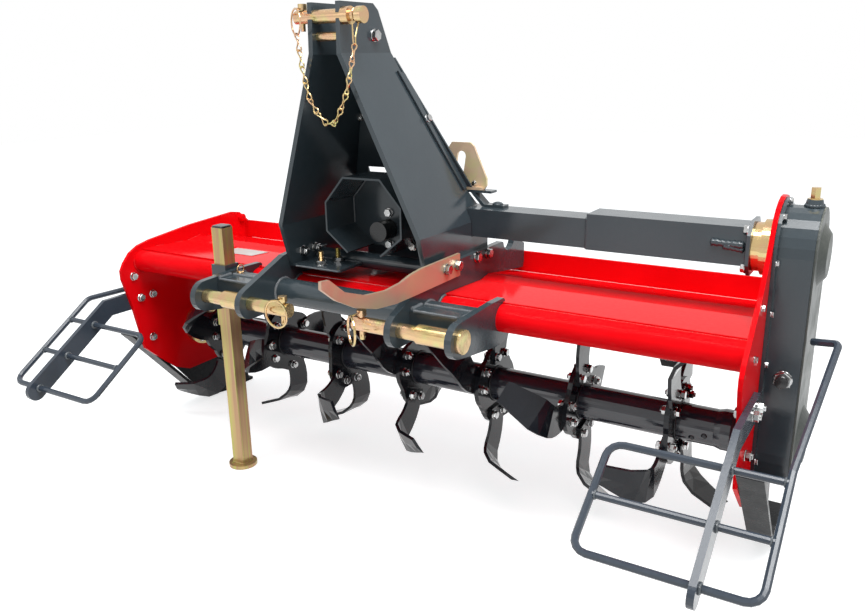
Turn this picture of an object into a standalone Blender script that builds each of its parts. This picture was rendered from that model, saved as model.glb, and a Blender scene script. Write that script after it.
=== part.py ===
"""Three-point rotary tiller: red hood and side plates, dark mast and hitch,
flanged rotor with curved blades, side drive case, parking stand and wheel guards.
Metres, +Z up, +X along the rotor towards the drive case, -Y towards the tractor."""
import bmesh
import bpy
from math import cos, hypot, pi, radians, sin
from mathutils import Matrix, Vector

GAP = 0.0003
ROUND = 32
FINE_ROUND = 40

# place of the hitch centre line and of the lower pin axis on the ground plan
HITCH_X = -0.0461
HITCH_Y = -0.1680

# hitch: lower pins, outer plates, longitudinal arms
PIN_Z = 0.4507
PIN_R = 0.0143
PIN_BORE_PLAY = 0.0004
SLEEVE_R = 0.0185
HITCH_END_R = 0.033
ARM_OUT_X = 0.191
ARM_T = 0.014
OUTER_IN_X = 0.3044
OUTER_T = 0.014
PIN_HEAD_R = 0.0225
PIN_HEAD_T = 0.009

# cross tubes: red tube under the hood's front edge, dark tube in the hitch, thin mast tube
RED_TUBE_Y = 0.163
RED_TUBE_Z = 0.449
RED_TUBE_R = 0.027
DARK_TUBE_Y = 0.103
DARK_TUBE_Z = 0.4525
DARK_TUBE_R = 0.0285
MAST_TUBE_Y = 0.225
MAST_TUBE_Z = 0.510
MAST_TUBE_R = 0.0175

# side plates
LEFT_IN_X = -0.699
RIGHT_IN_X = 0.770
SIDE_T = 0.008

# rotor
ROTOR_Y = 0.3305
ROTOR_Z = 0.237
ROTOR_R = 0.037
ROTOR_LEFT_X = -0.672
ROTOR_COLLAR_X = 0.700
ROTOR_RIGHT_X = 0.745
STUB_R = 0.018
FLANGE_FIRST_X = -0.586
FLANGE_PITCH = 0.2013
FLANGE_R = 0.076
FLANGE_LOBE = 0.014
FLANGE_T = 0.010

# blades: flat sickle blanks that are bent sideways over a line skewed to the shank
BLADE_T = 0.007
BLADE_ROOT_R = 0.050
BLADE_TIP_R = 0.197
BLADE_SHANK = 0.022
BLADE_SWEEP_R = 0.108
BLADE_SWEEP = 60
BLADE_END = 0.080
BLADE_ROOT_W = 0.055
BLADE_MID_W = 0.070
BLADE_TIP_W = 0.046
BLADE_OFFSET = 0.006
BEND_START = 0.111
BEND_R = 0.0525
BEND_TURN = 70
BEND_SKEW = 40

# drive line above the hood
DRIVE_Y = 0.335
DRIVE_Z = 0.598
BEAM_LEFT_X = 0.1125
BEAM_H = 0.058
BEAM_D = 0.064
CASE_Y = 0.338
CASE_TOP_Z = 0.598
CASE_LOW_Z = 0.238
CASE_R = 0.078
CASE_W = 0.062

# mast
MAST_T = 0.010
MAST_TOP_X = 0.0276
MAST_LOW_X = 0.1665
TOP_PIN_Y = 0.077
TOP_PIN_Z = 1.005
TOP_PIN_R = 0.0125
MAST_BEND_TOP_Z = TOP_PIN_Z - 0.067
MAST_BEND_LOW_Z = 0.597
SPACER_Y = TOP_PIN_Y + 0.005
SPACER_Z = TOP_PIN_Z - 0.035
SPACER_R = 0.0085

# parking stand
LEG_Y = 0.0955
LEG_SIDE = 0.032
LEG_TOP_Z = 0.580
FOOT_R = 0.033
FOOT_T = 0.008
GUIDE_WALL = 0.0045
GUIDE_PLAY = 0.0005

# guards and skids
BAR_R = 0.0065
GUARD_FLAT_W = 0.045
GUARD_FLAT_T = 0.011
GUARD_IN = 0.186
GUARD_OUT = 0.088
SKID_W = 0.045
SKID_T = 0.008


def fresh_scene():
    for obj in list(bpy.data.objects):
        bpy.data.objects.remove(obj, do_unlink=True)


fresh_scene()
parts = bpy.data.collections.new("rotary_tiller")
bpy.context.scene.collection.children.link(parts)
frame = bpy.data.objects.new("machine_frame", None)
frame.location = (HITCH_X, HITCH_Y, 0.0)
parts.objects.link(frame)


def paint(name, colour, roughness, metallic):
    mat = bpy.data.materials.new(name)
    mat.use_nodes = True
    shader = mat.node_tree.nodes["Principled BSDF"]
    shader.inputs["Base Color"].default_value = (*colour, 1.0)
    shader.inputs["Roughness"].default_value = roughness
    shader.inputs["Metallic"].default_value = metallic
    return mat


RED = paint("red_paint", (0.62, 0.010, 0.012), 0.28, 0.0)
SLATE = paint("slate_paint", (0.060, 0.070, 0.085), 0.38, 0.0)
BLACK = paint("black_paint", (0.012, 0.013, 0.015), 0.35, 0.0)
ZINC = paint("yellow_zinc", (0.60, 0.45, 0.20), 0.35, 0.9)
PLASTIC = paint("black_plastic", (0.015, 0.015, 0.016), 0.5, 0.0)


def keep(obj, name, material, parent=frame):
    """Name a finished piece, paint it and hang it in the machine's frame."""
    obj.name = name
    obj.data.name = name
    obj.data.materials.clear()
    obj.data.materials.append(material)
    for holder in list(obj.users_collection):
        holder.objects.unlink(obj)
    parts.objects.link(obj)
    obj.parent = parent
    return obj


def loose(mesh, name="work"):
    obj = bpy.data.objects.new(name, mesh)
    bpy.context.scene.collection.objects.link(obj)
    return obj


def baked(obj):
    """Turn a curve or a modified object into a plain welded mesh in the machine's frame."""
    graph = bpy.context.evaluated_depsgraph_get()
    mesh = bpy.data.meshes.new_from_object(obj.evaluated_get(graph))
    mesh.transform(obj.matrix_world)
    work = bmesh.new()
    work.from_mesh(mesh)
    bmesh.ops.remove_doubles(work, verts=work.verts, dist=0.00005)
    bmesh.ops.recalc_face_normals(work, faces=work.faces)
    work.to_mesh(mesh)
    work.free()
    bpy.data.objects.remove(obj, do_unlink=True)
    return loose(mesh)


def combine(base, others, operation):
    """Boolean each other body onto the base and keep the result as one mesh."""
    for other in others:
        mod = base.modifiers.new("step", "BOOLEAN")
        mod.operation = operation
        mod.solver = "EXACT"
        mod.object = other
    bpy.context.view_layer.update()
    result = baked(base)
    for other in others:
        bpy.data.objects.remove(other, do_unlink=True)
    return result


def union(base, others):
    return combine(base, others, "UNION")


def cut(base, others):
    return combine(base, others, "DIFFERENCE")


def box(low, high):
    """Axis-aligned block between two corners."""
    size = [b - a for a, b in zip(low, high)]
    mid = [(a + b) / 2 for a, b in zip(low, high)]
    work = bmesh.new()
    bmesh.ops.create_cube(work, size=1.0)
    bmesh.ops.scale(work, vec=size, verts=work.verts)
    bmesh.ops.translate(work, vec=mid, verts=work.verts)
    mesh = bpy.data.meshes.new("box")
    work.to_mesh(mesh)
    work.free()
    return loose(mesh)


AXES = {"X": (0, pi / 2, 0), "Y": (pi / 2, 0, 0), "Z": (0, 0, 0)}


def rod(axis, start, end, radius, across, sides=ROUND, end_radius=None):
    """Round bar along one axis from start to end; across gives its other two coordinates."""
    middle = (start + end) / 2
    place = {"X": (middle, *across), "Y": (across[0], middle, across[1]), "Z": (*across, middle)}[axis]
    work = bmesh.new()
    second = radius if end_radius is None else end_radius
    flip = axis == "Y"
    bmesh.ops.create_cone(
        work, cap_ends=True, segments=sides, depth=end - start,
        radius1=second if flip else radius, radius2=radius if flip else second)
    turn = Matrix.Rotation(AXES[axis][0], 4, "X") @ Matrix.Rotation(AXES[axis][1], 4, "Y")
    bmesh.ops.transform(work, matrix=Matrix.Translation(place) @ turn, verts=work.verts)
    mesh = bpy.data.meshes.new("rod")
    work.to_mesh(mesh)
    work.free()
    return loose(mesh)


def circle(centre, radius, sides=ROUND):
    return [(centre[0] + radius * cos(2 * pi * i / sides), centre[1] + radius * sin(2 * pi * i / sides))
            for i in range(sides)]


def arc(centre, radius, first, last, steps):
    """Points on an arc, angles in degrees."""
    return [(centre[0] + radius * cos(radians(first + (last - first) * i / steps)),
             centre[1] + radius * sin(radians(first + (last - first) * i / steps)))
            for i in range(steps + 1)]


PLANES = {"YZ": (pi / 2, 0, pi / 2), "XZ": (pi / 2, 0, 0), "XY": (0, 0, 0)}


def sheet(plane, outline, low, high, holes=()):
    """Flat plate from an outline with holes, lying between two values of the third axis."""
    curve = bpy.data.curves.new("sheet", "CURVE")
    curve.dimensions = "2D"
    curve.fill_mode = "BOTH"
    curve.extrude = (high - low) / 2
    for loop in (outline, *holes):
        spline = curve.splines.new("POLY")
        spline.points.add(len(loop) - 1)
        for point, (u, v) in zip(spline.points, loop):
            point.co = (u, v, 0, 1)
        spline.use_cyclic_u = True
    obj = bpy.data.objects.new("sheet", curve)
    obj.rotation_euler = PLANES[plane]
    middle = (low + high) / 2
    obj.location = {"YZ": (middle, 0, 0), "XZ": (0, middle, 0), "XY": (0, 0, middle)}[plane]
    bpy.context.scene.collection.objects.link(obj)
    bpy.context.view_layer.update()
    return baked(obj)


def bent_bar(points, radius, closed=False, sides=2):
    """Round bar along a path of points."""
    curve = bpy.data.curves.new("bar", "CURVE")
    curve.dimensions = "3D"
    curve.fill_mode = "FULL"
    curve.bevel_depth = radius
    curve.bevel_resolution = sides
    curve.use_fill_caps = not closed
    spline = curve.splines.new("POLY")
    spline.points.add(len(points) - 1)
    for point, co in zip(spline.points, points):
        point.co = (*co, 1)
    spline.use_cyclic_u = closed
    obj = bpy.data.objects.new("bar", curve)
    bpy.context.scene.collection.objects.link(obj)
    bpy.context.view_layer.update()
    return baked(obj)


def rounded(corners, steps=4):
    """Path whose inner corners (point, radius) are turned into arcs in 3-D."""
    path = [Vector(corners[0][0])]
    for before, here, after in zip(corners, corners[1:], corners[2:]):
        p, radius = Vector(here[0]), here[1]
        a = (Vector(before[0]) - p).normalized()
        b = (Vector(after[0]) - p).normalized()
        if radius == 0:
            path.append(p)
            continue
        half = a.angle(b) / 2
        reach = radius / sin(half) * cos(half)
        centre = p + (a + b).normalized() * (radius / sin(half))
        start, stop = p + a * reach - centre, p + b * reach - centre
        for i in range(steps + 1):
            path.append(centre + start.slerp(stop, i / steps) * radius)
    path.append(Vector(corners[-1][0]))
    return path


def turned(profile):
    """Body of revolution about X from (radius, x) pairs listed from the right end to the left."""
    mesh = bpy.data.meshes.new("turned")
    points = [(radius, 0.0, x) for radius, x in profile]
    mesh.from_pydata(points, [(i, i + 1) for i in range(len(points) - 1)], [])
    obj = loose(mesh)
    screw = obj.modifiers.new("turn", "SCREW")
    screw.axis = "Z"
    screw.steps = FINE_ROUND
    screw.render_steps = FINE_ROUND
    screw.use_merge_vertices = True
    screw.merge_threshold = 0.00005
    obj.rotation_euler = (0, pi / 2, 0)
    bpy.context.view_layer.update()
    return baked(obj)


def smooth(obj, angle=35):
    for face in obj.data.polygons:
        face.use_smooth = True
    obj.data.set_sharp_from_angle(angle=radians(angle))
    return obj


# side plates: flame-cut outlines in (y, z)
LOW_OUTLINE = [(0.560, 0.4650), (0.556, 0.400), (0.530, 0.250), (0.470, 0.145), (0.420, 0.119),
               (0.274, 0.118), (0.229, 0.138), (0.163, 0.196), (0.137, 0.220), (0.114, 0.338),
               (0.093, 0.414), (0.093, 0.436), (0.104, 0.454)]
LEFT_OUTLINE = LOW_OUTLINE + [(0.125, 0.476), (0.153, 0.490), (0.191, 0.498), (0.327, 0.513),
                              (0.487, 0.522), (0.515, 0.517), (0.535, 0.500), (0.552, 0.485)]
CASE_RIM = 0.016
RIGHT_OUTLINE = LOW_OUTLINE + [(0.196, 0.545), (0.228, 0.592)] + arc(
    (CASE_Y, CASE_TOP_Z), CASE_R + CASE_RIM, 165, 5, 12) + [(0.475, 0.520), (0.535, 0.500)]
keep(sheet("YZ", LEFT_OUTLINE, LEFT_IN_X - SIDE_T, LEFT_IN_X), "side_plate_left", RED)
keep(sheet("YZ", RIGHT_OUTLINE, RIGHT_IN_X, RIGHT_IN_X + SIDE_T), "side_plate_right", RED)

# red cross members between the side plates
HOOD_LOW_X = LEFT_IN_X + GAP
HOOD_HIGH_X = RIGHT_IN_X - GAP
keep(smooth(rod("X", HOOD_LOW_X, HOOD_HIGH_X, RED_TUBE_R, (RED_TUBE_Y, RED_TUBE_Z), FINE_ROUND)),
     "front_tube", RED)
HOOD_T = 0.0035
HOOD_FRONT_Y = RED_TUBE_Y + 0.003
HOOD_FRONT_Z = RED_TUBE_Z + RED_TUBE_R + HOOD_T + GAP
HOOD_LINE = [(HOOD_FRONT_Y, HOOD_FRONT_Z), (0.315, 0.4725), (0.352, 0.4785), (0.5325, 0.4425)]
hood_skin = bpy.data.meshes.new("hood")
hood_skin.from_pydata(
    [(x, y, z) for y, z in HOOD_LINE for x in (HOOD_LOW_X, HOOD_HIGH_X)], [],
    [(2 * i, 2 * i + 1, 2 * i + 3, 2 * i + 2) for i in range(len(HOOD_LINE) - 1)])
hood = loose(hood_skin)
thicken = hood.modifiers.new("gauge", "SOLIDIFY")
thicken.thickness = HOOD_T
thicken.offset = -1.0
thicken.use_even_offset = True
NOTCH_REAR_Y = RED_TUBE_Y + 0.0135
slots = [box((min(x, x + w) - GAP, HOOD_FRONT_Y - 0.01, HOOD_FRONT_Z - 0.02),
             (max(x, x + w) + GAP, NOTCH_REAR_Y, HOOD_FRONT_Z + 0.02))
         for x, w in ((-OUTER_IN_X, -OUTER_T), (OUTER_IN_X, OUTER_T))]
keep(cut(baked(hood), slots), "hood_sheet", RED)
RAIL_Y = 0.5335
RAIL_TOP_Z = 0.4913
RAIL_LOW_Z = 0.4425
RAIL_T = 0.006
RAIL_FOOT = 0.024
keep(sheet("YZ", [(RAIL_Y, RAIL_LOW_Z), (RAIL_Y + RAIL_FOOT, RAIL_LOW_Z),
                  (RAIL_Y + RAIL_FOOT, RAIL_LOW_Z + RAIL_T), (RAIL_Y + RAIL_T, RAIL_LOW_Z + RAIL_T),
                  (RAIL_Y + RAIL_T, RAIL_TOP_Z), (RAIL_Y, RAIL_TOP_Z)], HOOD_LOW_X, HOOD_HIGH_X),
     "rear_rail", RED)

# longitudinal arms: pin eye in front, saddle over the red tube, seat on the hood, notch behind
PIN_EYE = circle((0.0, PIN_Z), PIN_R + PIN_BORE_PLAY)
NOTCH_C = (0.451, 0.539)
NOTCH_R = 0.028
ARM_OUTLINE = (
    arc((0.0, PIN_Z), HITCH_END_R, 112, 270, 10)
    + [(0.122, PIN_Z - HITCH_END_R)]
    + arc((RED_TUBE_Y, RED_TUBE_Z), RED_TUBE_R + GAP, 195, 85, 8)
    + [(HOOD_FRONT_Y - 0.0007, HOOD_FRONT_Z + 2 * GAP), (0.315, 0.4732), (0.352, 0.4792), (0.420, 0.4680),
       (0.527, 0.4550), (0.5325, 0.470), (0.5325, 0.512), (0.480, 0.5345)]
    + arc(NOTCH_C, NOTCH_R, -20, -170, 8)
    + [(0.418, 0.5365), (0.170, 0.5365), (0.110, 0.530)])
OUTER_REAR_Y = 0.198
OUTER_OUTLINE = (
    arc((0.0, PIN_Z), HITCH_END_R, 90, 262, 12)
    + [(0.032, 0.412), (0.140, 0.397)]
    + arc((OUTER_REAR_Y - 0.030, 0.427), 0.030, -80, 0, 5)
    + [(OUTER_REAR_Y, 0.445), (0.1945, 0.4620), (0.1865, 0.4712), (0.1760, 0.4746), (0.1760, 0.4835), (0.171, 0.4870),
       (0.125, 0.4880)])
TUBE_HOLE = circle((RED_TUBE_Y, RED_TUBE_Z), RED_TUBE_R + GAP)
for side, tag in ((-1, "left"), (1, "right")):
    inner, outer = ARM_OUT_X - ARM_T, ARM_OUT_X
    low, high = sorted((side * inner, side * outer))
    keep(sheet("YZ", ARM_OUTLINE, low, high, [PIN_EYE]), "arm_" + tag, SLATE)
    low, high = sorted((side * OUTER_IN_X, side * (OUTER_IN_X + OUTER_T)))
    keep(sheet("YZ", OUTER_OUTLINE, low, high, [PIN_EYE, TUBE_HOLE]), "hitch_plate_" + tag, SLATE)

# dark cross tube between the arms and the boxed stubs between arm and outer plate
keep(smooth(rod("X", -(ARM_OUT_X - ARM_T) + GAP, ARM_OUT_X - ARM_T - GAP, DARK_TUBE_R,
                (DARK_TUBE_Y, DARK_TUBE_Z), FINE_ROUND)), "frame_tube", SLATE)
BOX_FRONT_Y = 0.034
BOX_TOP_Z = 0.4800
BOX_LOW_Z = 0.4300
for side, tag in ((-1, "left"), (1, "right")):
    low, high = sorted((side * (ARM_OUT_X + GAP), side * (OUTER_IN_X - GAP)))
    stub = rod("X", low, high, DARK_TUBE_R, (DARK_TUBE_Y, DARK_TUBE_Z))
    block = box((low, BOX_FRONT_Y, BOX_LOW_Z), (high, DARK_TUBE_Y, BOX_TOP_Z))
    keep(union(stub, [block]), "hitch_box_" + tag, SLATE)

# lower pins with shoulder sleeve and head outside
PIN_INNER_X = {"left": 0.072, "right": 0.090}
SLEEVE_SPAN = {"left": (0.1925, 0.2480), "right": (0.2330, 0.3030)}
lower_pins = {}
for side, tag in ((-1, "left"), (1, "right")):
    head = OUTER_IN_X + OUTER_T + GAP
    spans = [(PIN_INNER_X[tag], head + PIN_HEAD_T / 2, PIN_R), (head, head + PIN_HEAD_T, PIN_HEAD_R),
             (*SLEEVE_SPAN[tag], SLEEVE_R)]
    bodies = [rod("X", *sorted((side * a, side * b)), r, (0.0, PIN_Z)) for a, b, r in spans]
    lower_pins[tag] = union(bodies[0], bodies[1:])

# linch pins: post through the inner end of each pin, with its spring ring in front
LINCH_POST_R = 0.0055
LINCH_RING_R = 0.0280
LINCH_WIRE_R = 0.0022
LINCH_POST_DOWN = 0.030
LINCH_POST_UP = 0.026


def linch_pin(at, post_r, wire_r, ring_r, swing, stand_off, drop):
    """Post along Z at a point, knob on top, spring ring standing in front and swung about Z."""
    x, y, z = at
    post = rod("Z", z - LINCH_POST_DOWN * ring_r / LINCH_RING_R, z + LINCH_POST_UP * ring_r / LINCH_RING_R,
               post_r, (x, y), 16)
    top = z + LINCH_POST_UP * ring_r / LINCH_RING_R
    knob = rod("Z", top - 0.009, top + 0.002, post_r + 0.004, (x, y), 16)
    a = radians(swing)
    front = y - stand_off
    ring = [(x + ring_r * sin(t) * cos(a), front - ring_r * sin(t) * sin(a), z - drop + ring_r * cos(t))
            for t in (2 * pi * i / 20 for i in range(20))]
    arm = rod("Y", front - 0.0005, y - 0.001, wire_r, (x, z - drop + ring_r), 10)
    return union(post, [knob, arm, bent_bar(ring, wire_r, closed=True, sides=1)])


LINCHES = {"left": (-0.089, 0, 0.0215), "right": (0.106, 40, 0.0335)}
for tag, (x, swing, stand_off) in LINCHES.items():
    hole = rod("Z", PIN_Z - 0.03, PIN_Z + 0.03, LINCH_POST_R + GAP, (x, 0.0), 16)
    keep(smooth(cut(lower_pins[tag], [hole])), "lower_pin_" + tag, ZINC)
    keep(linch_pin((x, 0.0, PIN_Z), LINCH_POST_R, LINCH_WIRE_R, LINCH_RING_R, swing, stand_off, 0.004),
         "linch_pin_" + tag, ZINC)

# drawbar hook for the drive shaft, bolted to the right arm
HOOK_T = 0.006
HOOK_OUTLINE = [(-0.223, 0.597), (-0.203, 0.595), (-0.165, 0.566), (-0.107, 0.546), (-0.047, 0.539),
                (0.001, 0.542), (0.034, 0.549), (0.069, 0.5525), (0.216, 0.5525), (0.216, 0.5065), (0.043, 0.5065),
                (-0.017, 0.507), (-0.079, 0.514), (-0.136, 0.531), (-0.188, 0.557), (-0.224, 0.584)]
keep(sheet("YZ", HOOK_OUTLINE, ARM_OUT_X + GAP, ARM_OUT_X + GAP + HOOK_T), "shaft_hook", ZINC)

# mast plates: upright at the pin, splayed below it, upright again on the arms
MAST_REAR_TOP_Y = TOP_PIN_Y + 0.149
MAST_KNEE_Y = 0.331
MAST_KNEE_Z = 0.655
MAST_REAR_LOW_Y = 0.372
MAST_FRONT_TOP_Y = TOP_PIN_Y - 0.014
MAST_FRONT_LOW_Y = 0.100
MAST_FOOT_Z = 0.503
MAST_FACES = [
    [(0.0, TOP_PIN_Y - 0.011, TOP_PIN_Z + 0.025), (0.0, TOP_PIN_Y + 0.093, TOP_PIN_Z + 0.025),
     (0.0, TOP_PIN_Y + 0.109, TOP_PIN_Z + 0.013), (0.0, TOP_PIN_Y + 0.127, TOP_PIN_Z - 0.022),
     (0.0, MAST_REAR_TOP_Y, MAST_BEND_TOP_Z), (0.0, MAST_FRONT_TOP_Y, MAST_BEND_TOP_Z)],
    [(0.0, MAST_FRONT_TOP_Y, MAST_BEND_TOP_Z), (0.0, MAST_REAR_TOP_Y, MAST_BEND_TOP_Z),
     ((MAST_BEND_TOP_Z - MAST_KNEE_Z) / (MAST_BEND_TOP_Z - MAST_BEND_LOW_Z), MAST_KNEE_Y, MAST_KNEE_Z),
     (1.0, MAST_REAR_LOW_Y, MAST_BEND_LOW_Z), (1.0, MAST_FRONT_LOW_Y, MAST_BEND_LOW_Z)],
    [(1.0, MAST_FRONT_LOW_Y, MAST_BEND_LOW_Z), (1.0, MAST_REAR_LOW_Y, MAST_BEND_LOW_Z), (1.0, 0.375, 0.558),
     (1.0, 0.375, MAST_FOOT_Z), (1.0, 0.128, MAST_FOOT_Z)]]
for side, tag in ((-1, "left"), (1, "right")):
    spots = []
    faces = []
    for ring in MAST_FACES:
        loop = []
        for splay, y, z in ring:
            spot = (side * (MAST_TOP_X + (MAST_LOW_X - MAST_TOP_X) * splay), y, z)
            if spot not in spots:
                spots.append(spot)
            loop.append(spots.index(spot))
        faces.append(loop if side > 0 else loop[::-1])
    mesh = bpy.data.meshes.new("mast")
    mesh.from_pydata(spots, [], faces)
    plate = loose(mesh)
    gauge = plate.modifiers.new("gauge", "SOLIDIFY")
    gauge.thickness = MAST_T
    gauge.offset = -1.0
    gauge.use_even_offset = True
    bpy.context.view_layer.update()
    body = baked(plate)
    bores = [rod("X", -0.08, 0.08, TOP_PIN_R + PIN_BORE_PLAY, (TOP_PIN_Y, TOP_PIN_Z)),
             rod("X", -0.08, 0.08, SPACER_R, (SPACER_Y + 0.090, SPACER_Z + 0.003), 16)]
    if side > 0:
        bores.append(box((0.1, DRIVE_Y - BEAM_D / 2 - 0.0015, DRIVE_Z - BEAM_H / 2 - 0.0015),
                         (0.25, 0.45, DRIVE_Z + BEAM_H / 2 + 0.0015)))
    keep(cut(body, bores), "mast_plate_" + tag, SLATE)

# sheet across the back of the mast, notched over the gearbox
COVER_T = 0.004
COVER_OVER = 0.0045
COVER_TOP_Z = MAST_BEND_TOP_Z - 0.008
COVER_LOW_Z = 0.668
NOTCH_TOP_Z = 0.700
NOTCH_HALF = 0.095
COVER_SLOPE = (MAST_KNEE_Y - MAST_REAR_TOP_Y) / (MAST_BEND_TOP_Z - MAST_KNEE_Z)
COVER_TOP_Y = MAST_REAR_TOP_Y + (MAST_BEND_TOP_Z - COVER_TOP_Z) * COVER_SLOPE + 0.0016


def cover_point(x, z):
    return (x, COVER_TOP_Y + (COVER_TOP_Z - z) * COVER_SLOPE, z)


top_half = MAST_TOP_X + MAST_T + COVER_OVER
low_half = 0.163
half_rim = [(top_half, COVER_TOP_Z), (low_half, COVER_LOW_Z), (NOTCH_HALF, COVER_LOW_Z), (NOTCH_HALF, NOTCH_TOP_Z)]
rim = [cover_point(x, z) for x, z in half_rim] + [cover_point(-x, z) for x, z in half_rim[::-1]]
cover = bpy.data.meshes.new("cover")
cover.from_pydata(rim, [], [tuple(range(len(rim)))])
cover_body = loose(cover)
cover_gauge = cover_body.modifiers.new("gauge", "SOLIDIFY")
cover_gauge.thickness = COVER_T
cover_gauge.offset = 1.0
cover_gauge.use_even_offset = True
keep(baked(cover_body), "mast_back_cover", SLATE)

# top pin with collar, groove and head; spacer between the mast tops
TOP_OUT_X = MAST_TOP_X + MAST_T
TOP_LEFT_END = -0.072
TOP_HEAD_R = 0.0150
GROOVE_R = 0.0105
GROOVE_X = 0.0640
TOP_AXIS = (TOP_PIN_Y, TOP_PIN_Z)
TOP_LINCH_X = -0.058
TOP_LINCH_POST_R = 0.0045
top_bodies = [rod("X", TOP_LEFT_END, TOP_OUT_X + 0.012, TOP_PIN_R, TOP_AXIS),
              rod("X", TOP_OUT_X + GAP, TOP_OUT_X + 0.0165, 0.0160, TOP_AXIS),
              rod("X", TOP_OUT_X + 0.008, GROOVE_X + 0.010, GROOVE_R, TOP_AXIS),
              rod("X", GROOVE_X + 0.0055, GROOVE_X + 0.0185, TOP_HEAD_R, TOP_AXIS)]
drill = rod("Z", TOP_PIN_Z - 0.03, TOP_PIN_Z + 0.03, TOP_LINCH_POST_R + GAP, (TOP_LINCH_X, TOP_PIN_Y), 16)
keep(smooth(cut(union(top_bodies[0], top_bodies[1:]), [drill])), "top_pin", ZINC)
keep(smooth(rod("X", -MAST_TOP_X + GAP, MAST_TOP_X - GAP, SPACER_R, (SPACER_Y, SPACER_Z))), "mast_spacer", ZINC)
TOP_RING_R = 0.0235
TOP_WIRE_R = 0.0018
TOP_RING_OFF = 0.021
TOP_RING_DROP = 0.0085
keep(linch_pin((TOP_LINCH_X, TOP_PIN_Y, TOP_PIN_Z), TOP_LINCH_POST_R, TOP_WIRE_R, TOP_RING_R, 30, TOP_RING_OFF,
               TOP_RING_DROP), "top_linch_pin", ZINC)

# retaining chain: wire loop in the pin's groove, then double-loop links to the spring ring
CHAIN_R = 0.0014
BITE = 0.0003
LINKS = 12
ring_low = Vector((TOP_LINCH_X, TOP_PIN_Y - TOP_RING_OFF, TOP_PIN_Z - TOP_RING_DROP - TOP_RING_R))
CHAIN_HANG_Y = TOP_PIN_Y - 0.025
CHAIN_LINE = [(0.0672, TOP_PIN_Y - 0.011, TOP_PIN_Z - 0.051), (0.0635, CHAIN_HANG_Y, TOP_PIN_Z - 0.107),
              (0.0500, CHAIN_HANG_Y, TOP_PIN_Z - 0.150), (0.0165, CHAIN_HANG_Y, TOP_PIN_Z - 0.202),
              (-0.0290, CHAIN_HANG_Y, TOP_PIN_Z - 0.159), (-0.0455, CHAIN_HANG_Y, TOP_PIN_Z - 0.094),
              tuple(ring_low + Vector((0, 0, TOP_WIRE_R + 2 * BITE)))]


def along(line, share):
    """Point at a share of the whole length of a broken line."""
    spans = [(Vector(b) - Vector(a)).length for a, b in zip(line, line[1:])]
    left = share * sum(spans)
    for a, b, span in zip(line, line[1:], spans):
        if left <= span:
            break
        left -= span
    return Vector(a).lerp(Vector(b), min(left / span, 1.0))


def link(start, stop):
    """One link: two small loops at right angles, closed into one wire."""
    t = (stop - start).normalized()
    u = (Vector((0, 1, 0)) - t * t.y).normalized()
    v = t.cross(u)
    half = (stop - start).length / 2 + CHAIN_R - BITE
    middle = (start + stop) / 2
    loop = [(0.26, 0.0018), (0.58, 0.0051), (0.84, 0.0056), (1.0, 0.0026)]
    outward = [(half * a, b) for a, b in loop]
    inward = [(a, -b) for a, b in outward[::-1]]
    path = [middle + t * a + u * b for a, b in outward + inward]
    path += [middle - t * a - v * b for a, b in outward + inward]
    return bent_bar(path, CHAIN_R, closed=True, sides=1)


joints = [along(CHAIN_LINE, i / LINKS) for i in range(LINKS + 1)]
hang_r = GROOVE_R + CHAIN_R + GAP
hanger = [(GROOVE_X, TOP_PIN_Y + hang_r * cos(radians(a)), TOP_PIN_Z + hang_r * sin(radians(a)))
          for a in range(-30, 211, 30)]
low = joints[0] - Vector((0, 0, CHAIN_R - BITE))
hanger += [low + Vector((-0.0004, -0.0036, 0.014)), low + Vector((0, -0.0030, 0.002)), low,
           low + Vector((0, 0.0030, 0.002)), low + Vector((-0.0004, 0.0042, 0.014))]
chain = bent_bar(hanger, CHAIN_R, closed=True, sides=1)
keep(smooth(union(chain, [link(a, b) for a, b in zip(joints, joints[1:])]), 60), "retaining_chain", ZINC)

# rotor tube with end stubs, turned in one piece
keep(smooth(turned([(0.0, RIGHT_IN_X - GAP), (STUB_R, RIGHT_IN_X - GAP), (STUB_R, ROTOR_RIGHT_X),
                    (0.033, ROTOR_RIGHT_X), (0.0405, 0.730), (0.0405, 0.712), (ROTOR_R, ROTOR_COLLAR_X),
                    (ROTOR_R, ROTOR_LEFT_X), (STUB_R, ROTOR_LEFT_X), (STUB_R, LEFT_IN_X + GAP),
                    (0.0, LEFT_IN_X + GAP)])), "rotor_tube", BLACK)
rotor = bpy.data.objects["rotor_tube"]
for vertex in rotor.data.vertices:
    vertex.co.y += ROTOR_Y
    vertex.co.z += ROTOR_Z


def blank_line():
    """Centre line of a flat blade as (out, around, heading, width): shank, sweep, straight end."""
    full = radians(BLADE_SWEEP)
    line = [(BLADE_SHANK * i / 2, -BLADE_OFFSET, 0.0, BLADE_ROOT_W) for i in range(2)]
    for i in range(7):
        a = full * i / 6
        line.append((BLADE_SHANK + BLADE_SWEEP_R * sin(a), -BLADE_OFFSET - BLADE_SWEEP_R * (1 - cos(a)), a,
                     BLADE_ROOT_W + (BLADE_MID_W - BLADE_ROOT_W) * i / 6))
    u, v = line[-1][:2]
    for i in range(1, 4):
        line.append((u + BLADE_END * i / 3 * cos(full), v - BLADE_END * i / 3 * sin(full), full,
                     BLADE_MID_W + (BLADE_TIP_W - BLADE_MID_W) * i / 3))
    return line


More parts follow.
